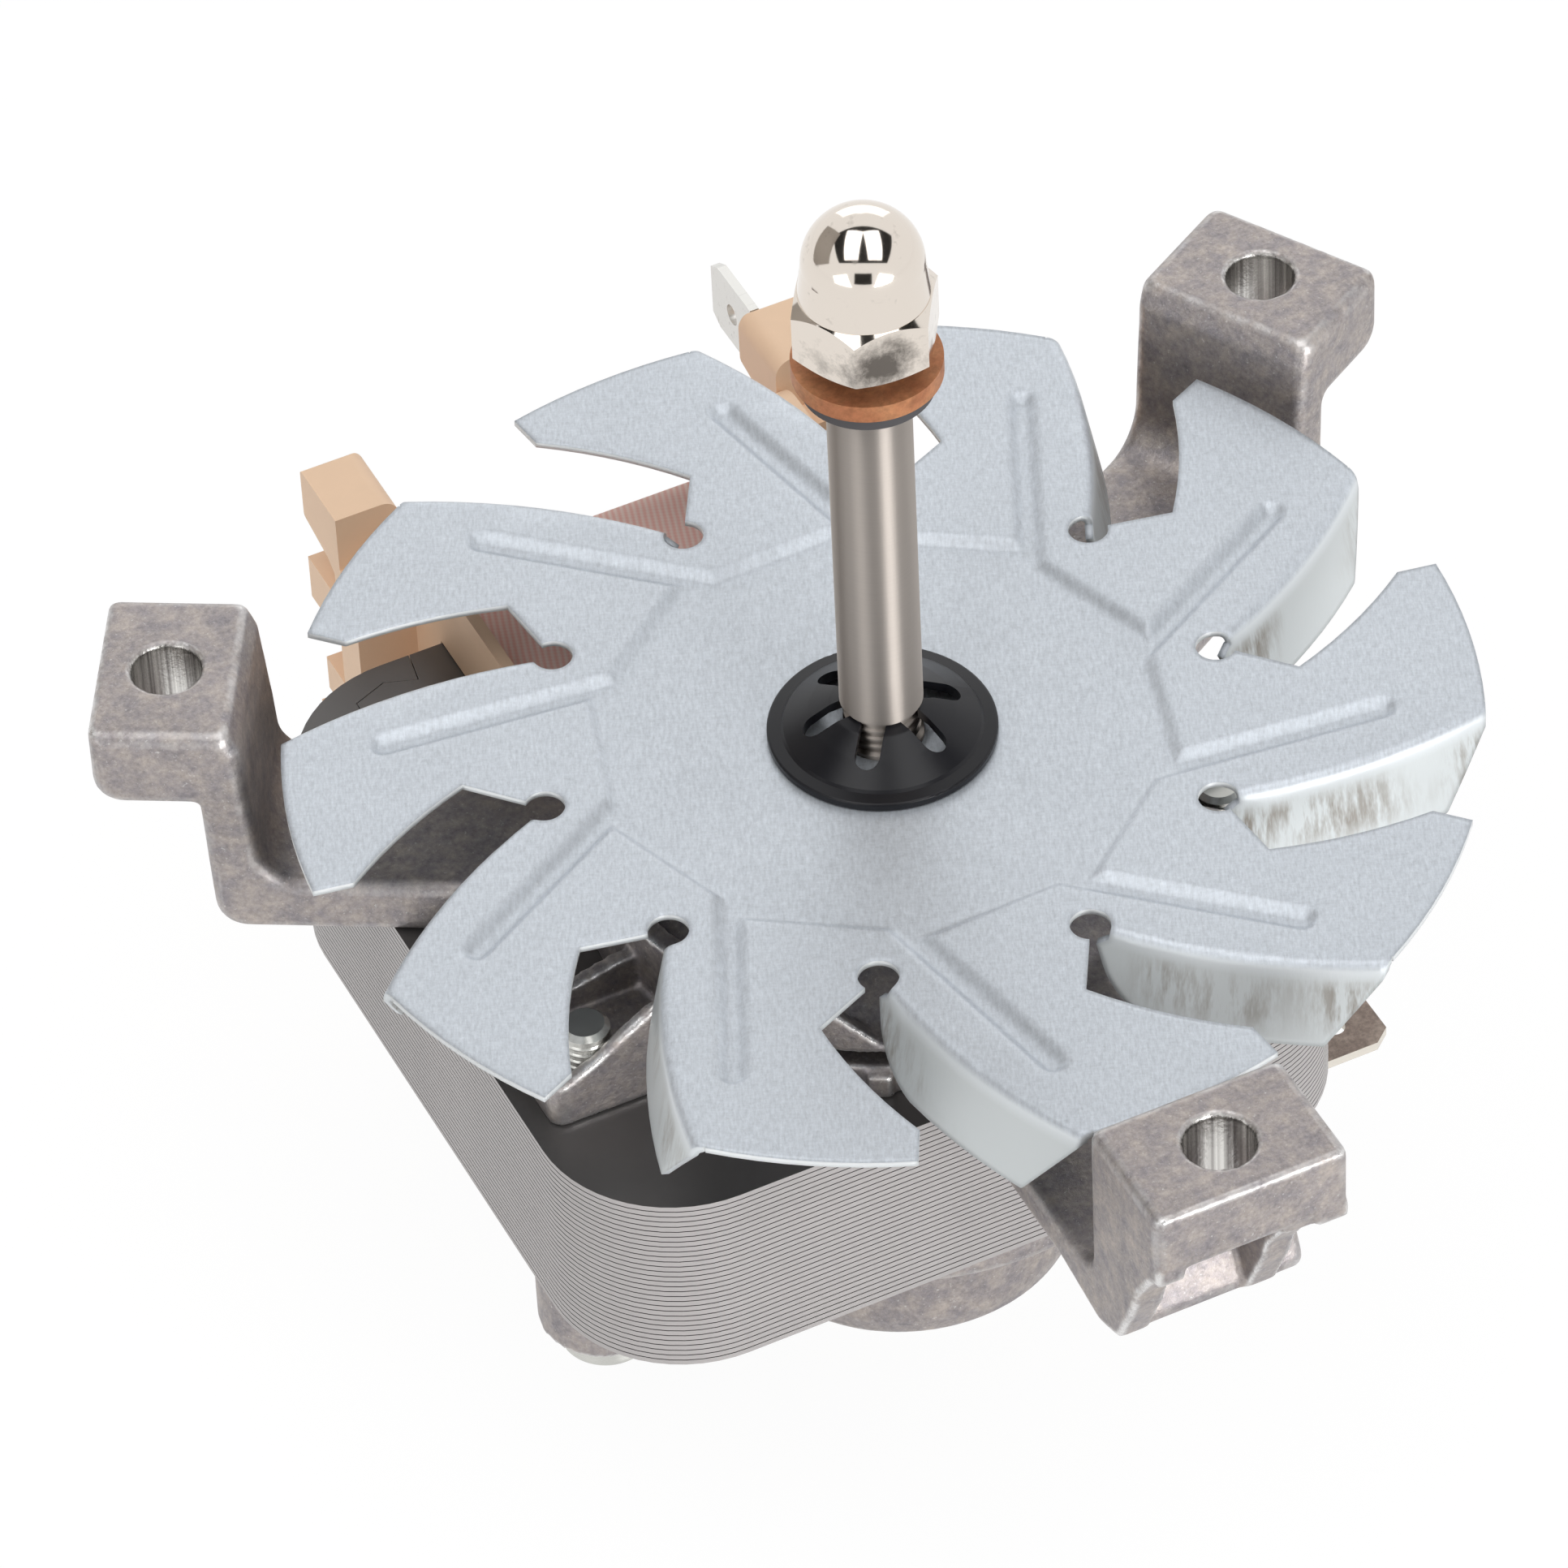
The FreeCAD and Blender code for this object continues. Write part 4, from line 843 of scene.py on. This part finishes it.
def stack_outline(corner_radius, bore_radius):
    """Rim and holes of one stator lamination, in metres."""
    radius = corner_radius / MM
    left, right = STACK_LOW.x / MM, STACK_HIGH.x / MM
    front, back = STACK_LOW.y / MM, STACK_HIGH.y / MM
    joint = joint_outline(0.08)
    mirrored = [(WINDOW_MIDDLE - x, y) for x, y in joint]
    rim = []
    rim += arc(left + radius, back - radius, radius, 90, 180, 14)
    rim += arc(left + radius, front + radius, radius, 180, 270, 14)
    rim += arc(right - radius, front + radius, radius, 270, 360, 14)
    rim += arc(right - radius, back - radius, radius, 0, 90, 14)
    rim += mirrored
    rim += [(15.0, 26.3), (15.0, 20.9), (13.5, 19.4), (-19.4, 19.4), (-20.9, 20.9),
            (-20.9, 26.3)]
    rim += list(reversed(joint))
    holes = [arc(0, 0, bore_radius / MM, 0, 354, 59)]
    holes += [arc(x, SCREW_Y, SCREW_HOLE, 0, 345, 23) for x in SCREW_XS]
    return [mm_points(rim)] + [mm_points(h) for h in holes]


def core_outline():
    """Rim of one coil core lamination, in metres."""
    left = joint_outline(0.0)
    right = [(WINDOW_MIDDLE - x, y) for x, y in reversed(left)]
    return [mm_points(left + right)]


# Operators

class MOTOR_OT_finishes(bpy.types.Operator):
    """Give every carried-over part its finish"""
    bl_idname = "motor.finishes"
    bl_label = "Part finishes"

    def execute(self, context):
        library = finishes()
        for entry in frame["record"]["subparts"]:
            node = frame["nodes"][entry["node"]]
            slot = entry["material_slot"]
            finish = NODE_FINISH.get(entry["node"], SLOT_FINISH.get(slot, slot))
            dress(node.data, library[finish])
        return {"FINISHED"}


class MOTOR_OT_laminations(bpy.types.Operator):
    """Build the stator stack and the coil core from separate sheets"""
    bl_idname = "motor.laminations"
    bl_label = "Laminations"

    def execute(self, context):
        sizes = context.scene.motor_sizes
        library = finishes()
        low, high = STACK_LOW.z, STACK_HIGH.z
        pitch = (high - low - sizes.sheet_thickness) / (sizes.sheet_count - 1)
        shapes = {"stator_stack": stack_outline(sizes.corner_radius, sizes.bore_radius),
                  "coil_core": core_outline()}
        for node, loops in shapes.items():
            sheet = outline_mesh(node + "_sheet", loops, low, low + sizes.sheet_thickness)
            sheets = repeated(node + "_sheets", sheet, sizes.sheet_count, pitch,
                              library["lamination_sheet"])
            inner = [grown(loops[0], -sizes.sheet_recess)]
            inner += [grown(hole, sizes.sheet_recess) for hole in loops[1:]]
            filler = outline_mesh(node + "_gaps", inner, low + 0.3 * MM, high - 0.3 * MM)
            smooth(sheets)
            plates = place(node + "_plates", sheets, body_of(node),
                           library["lamination_sheet"])
            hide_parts(node)
            place(node + "_lines", filler, body_of(node), library["lamination_gap"])
        return {"FINISHED"}


class MOTOR_OT_castings(bpy.types.Operator):
    """Round the cast brackets' edges and mark them as worn"""
    bl_idname = "motor.castings"
    bl_label = "Castings"

    def execute(self, context):
        sizes = context.scene.motor_sizes
        material = finishes()["cast_aluminium"]
        for node, holes in (("front_bracket", PAD_HOLES), ("rear_bracket", ())):
            cast_copy(node, node + "_casting", sizes.cast_grid, material,
                      holes)
        return {"FINISHED"}


class MOTOR_OT_sheet_edges(bpy.types.Operator):
    """Mark the cooling wheel's cut edges, which the sheet finish paints near-white as bare metal
    and a painted highlight
    """
    bl_idname = "motor.sheet_edges"
    bl_label = "Cooling wheel edges"

    def execute(self, context):
        sizes = context.scene.motor_sizes
        cut_sheet_copy("cooling_fan", "cooling_wheel", sizes.fan_sheet,
                       finishes()["galvanised_sheet"])
        return {"FINISHED"}


class MOTOR_OT_threads(bpy.types.Operator):
    """Cut the threads that show on the clamp screws and under the cap nut"""
    bl_idname = "motor.threads"
    bl_label = "Threads"

    def execute(self, context):
        sizes = context.scene.motor_sizes
        library = finishes()
        ridges = []
        for x in SCREW_XS:
            ridge = ridge_mesh(1.8 * MM, 2.0 * MM, SCREW_THREAD_LOW, sizes.thread_pitch, 36,
                               crest=0.42, top=0.97, inside=0.9, x=x * MM, y=SCREW_Y * MM)
            ridges.append(repeated("screw_ridges", ridge, 6, sizes.thread_pitch,
                                   library["zinc_screw"]))
        mesh = joined("clamp_screw_threads", ridges)
        smooth(mesh, 50.0)
        place("clamp_screw_threads", mesh, "stator", library["zinc_screw"])
        low_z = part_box("copper_washer")[1].z
        high_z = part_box("cap_nut")[0].z
        pitch = sizes.stud_pitch
        ridge = ridge_mesh(2.9 * MM, 3.0 * MM, low_z, pitch, 48, crest=0.4, top=1.0,
                           inside=0.95)
        count = max(1, int((high_z - low_z) / pitch))
        mesh = repeated("stud_ridges", ridge, count, pitch, library["turned_steel"])
        smooth(mesh, 50.0)
        place("stud_thread", mesh, "rotor", library["turned_steel"])
        return {"FINISHED"}


class MOTOR_OT_stage(bpy.types.Operator):
    """Set the floor, the soft boxes, the sky and the camera"""
    bl_idname = "motor.stage"
    bl_label = "Stage"

    def execute(self, context):
        scene = context.scene
        stage_sheet("floor", FLOOR_HALF, FLOOR_HALF, stage_material("pale_floor"),
                    Matrix.Translation((0.0, 0.0, CUP_LOW.z)))
        for name, turn, rise, wide, tall, grey in DARK_CARDS:
            warm_grey = (grey, grey * 0.93, grey * 0.86)
            stage_sheet(name, wide, tall, plain_finish(name, warm_grey, 0.9, 0.0, 8.0, 0.1),
                        upright(turn, rise, CARD_DISTANCE))
        for name, turn, rise, wide, tall, watts in SOFT_BOXES:
            lamp = bpy.data.lights.new(name, "AREA")
            lamp.shape = "RECTANGLE"
            lamp.size = wide
            lamp.size_y = tall
            lamp.energy = watts
            holder = bpy.data.objects.new(name, lamp)
            scene.collection.objects.link(holder)
            holder.matrix_world = upright(turn, rise, BOX_DISTANCE)
        world = bpy.data.worlds.new("studio")
        world.use_nodes = True
        scene.world = world
        graph = Graph(world.node_tree)
        back = world.node_tree.nodes["Background"]
        back.inputs["Color"].default_value = (1.0, 1.0, 1.0, 1.0)
        graph.feed(back.inputs["Strength"], graph.math(
            "ADD", graph.math("MULTIPLY", seen_ray(graph), 1.0 - SKY_FILL), SKY_FILL))
        scene.view_settings.view_transform = "Standard"
        camera = bpy.data.cameras.new("camera")
        camera.sensor_width = 36.0
        camera.lens = CAMERA_LENS
        camera.clip_start = 0.05
        camera.clip_end = 20.0
        eye = bpy.data.objects.new("camera", camera)
        scene.collection.objects.link(eye)
        turn = Matrix((RIGHT_WAY, UP_WAY, BACK_WAY)).transposed().to_4x4()
        eye.matrix_world = Matrix.Translation(CAMERA_PLACE) @ turn
        scene.camera = eye
        return {"FINISHED"}


def stage_sheet(name, wide, tall, material, where):
    """A flat sheet of the stage, given by its half sizes and its place."""
    mesh = bpy.data.meshes.new(name)
    mesh.from_pydata([(-wide, -tall, 0.0), (wide, -tall, 0.0), (wide, tall, 0.0),
                      (-wide, tall, 0.0)], [], [(0, 1, 2, 3)])
    mesh.materials.append(material)
    thing = bpy.data.objects.new(name, mesh)
    bpy.context.scene.collection.objects.link(thing)
    thing.matrix_world = where


def upright(aside, above, distance):
    """The place and turn of a lamp or card at two angles from the camera's line."""
    a, b = math.radians(aside), math.radians(above)
    flat = BACK_WAY * math.cos(a) + RIGHT_WAY * math.sin(a)
    out = flat * math.cos(b) + UP_WAY * math.sin(b)
    across = RIGHT_WAY * math.cos(a) - BACK_WAY * math.sin(a)
    turn = Matrix((across, out.cross(across), out)).transposed().to_4x4()
    return Matrix.Translation(out * distance) @ turn


def stage_material(name):
    """A floor that shows white to the camera and keeps a soft shadow."""
    material = bpy.data.materials.new(name)
    material.use_nodes = True
    graph = Graph(material.node_tree)
    bsdf = material.node_tree.nodes["Principled BSDF"]
    out = material.node_tree.nodes["Material Output"]
    bsdf.inputs["Base Color"].default_value = (0.92, 0.92, 0.92, 1.0)
    bsdf.inputs["Roughness"].default_value = 0.9
    bsdf.inputs["Specular IOR Level"].default_value = 0.1
    glow = graph.add("ShaderNodeEmission", {"Color": (1.0, 1.0, 1.0, 1.0), "Strength": 1.03})
    share = graph.add("ShaderNodeMixShader", {
        "Fac": graph.math("MULTIPLY", seen_ray(graph), 0.92), 1: bsdf.outputs[0],
        2: glow.outputs[0]})
    graph.feed(out.inputs["Surface"], share.outputs[0])
    return material


class MOTOR_PT_panel(bpy.types.Panel):
    """Lists the steps that build the motor's looks"""
    bl_idname = "MOTOR_PT_panel"
    bl_label = "Fan motor"
    bl_space_type = "VIEW_3D"
    bl_region_type = "UI"
    bl_category = "Fan motor"

    def draw(self, context):
        for step in STEPS:
            self.layout.operator(step.bl_idname)
        for store in (context.scene.motor_sizes, context.scene.motor_colours):
            box = self.layout.box()
            for key in store.bl_rna.properties.keys():
                if key not in ("rna_type", "name"):
                    box.prop(store, key)


STEPS = (MOTOR_OT_finishes, MOTOR_OT_laminations, MOTOR_OT_castings, MOTOR_OT_sheet_edges,
         MOTOR_OT_threads, MOTOR_OT_stage)
CLASSES = (MotorSizes, MotorColours) + STEPS + (MOTOR_PT_panel,)


def register():
    for item in CLASSES:
        bpy.utils.register_class(item)
    bpy.types.Scene.motor_sizes = PointerProperty(type=MotorSizes)
    bpy.types.Scene.motor_colours = PointerProperty(type=MotorColours)


def unregister():
    del bpy.types.Scene.motor_colours
    del bpy.types.Scene.motor_sizes
    for item in reversed(CLASSES):
        bpy.utils.unregister_class(item)


def main():
    register()
    bpy.ops.motor.finishes()
    bpy.ops.motor.laminations()
    bpy.ops.motor.castings()
    bpy.ops.motor.sheet_edges()
    bpy.ops.motor.threads()
    bpy.ops.motor.stage()


if __name__ == "__main__":
    main()
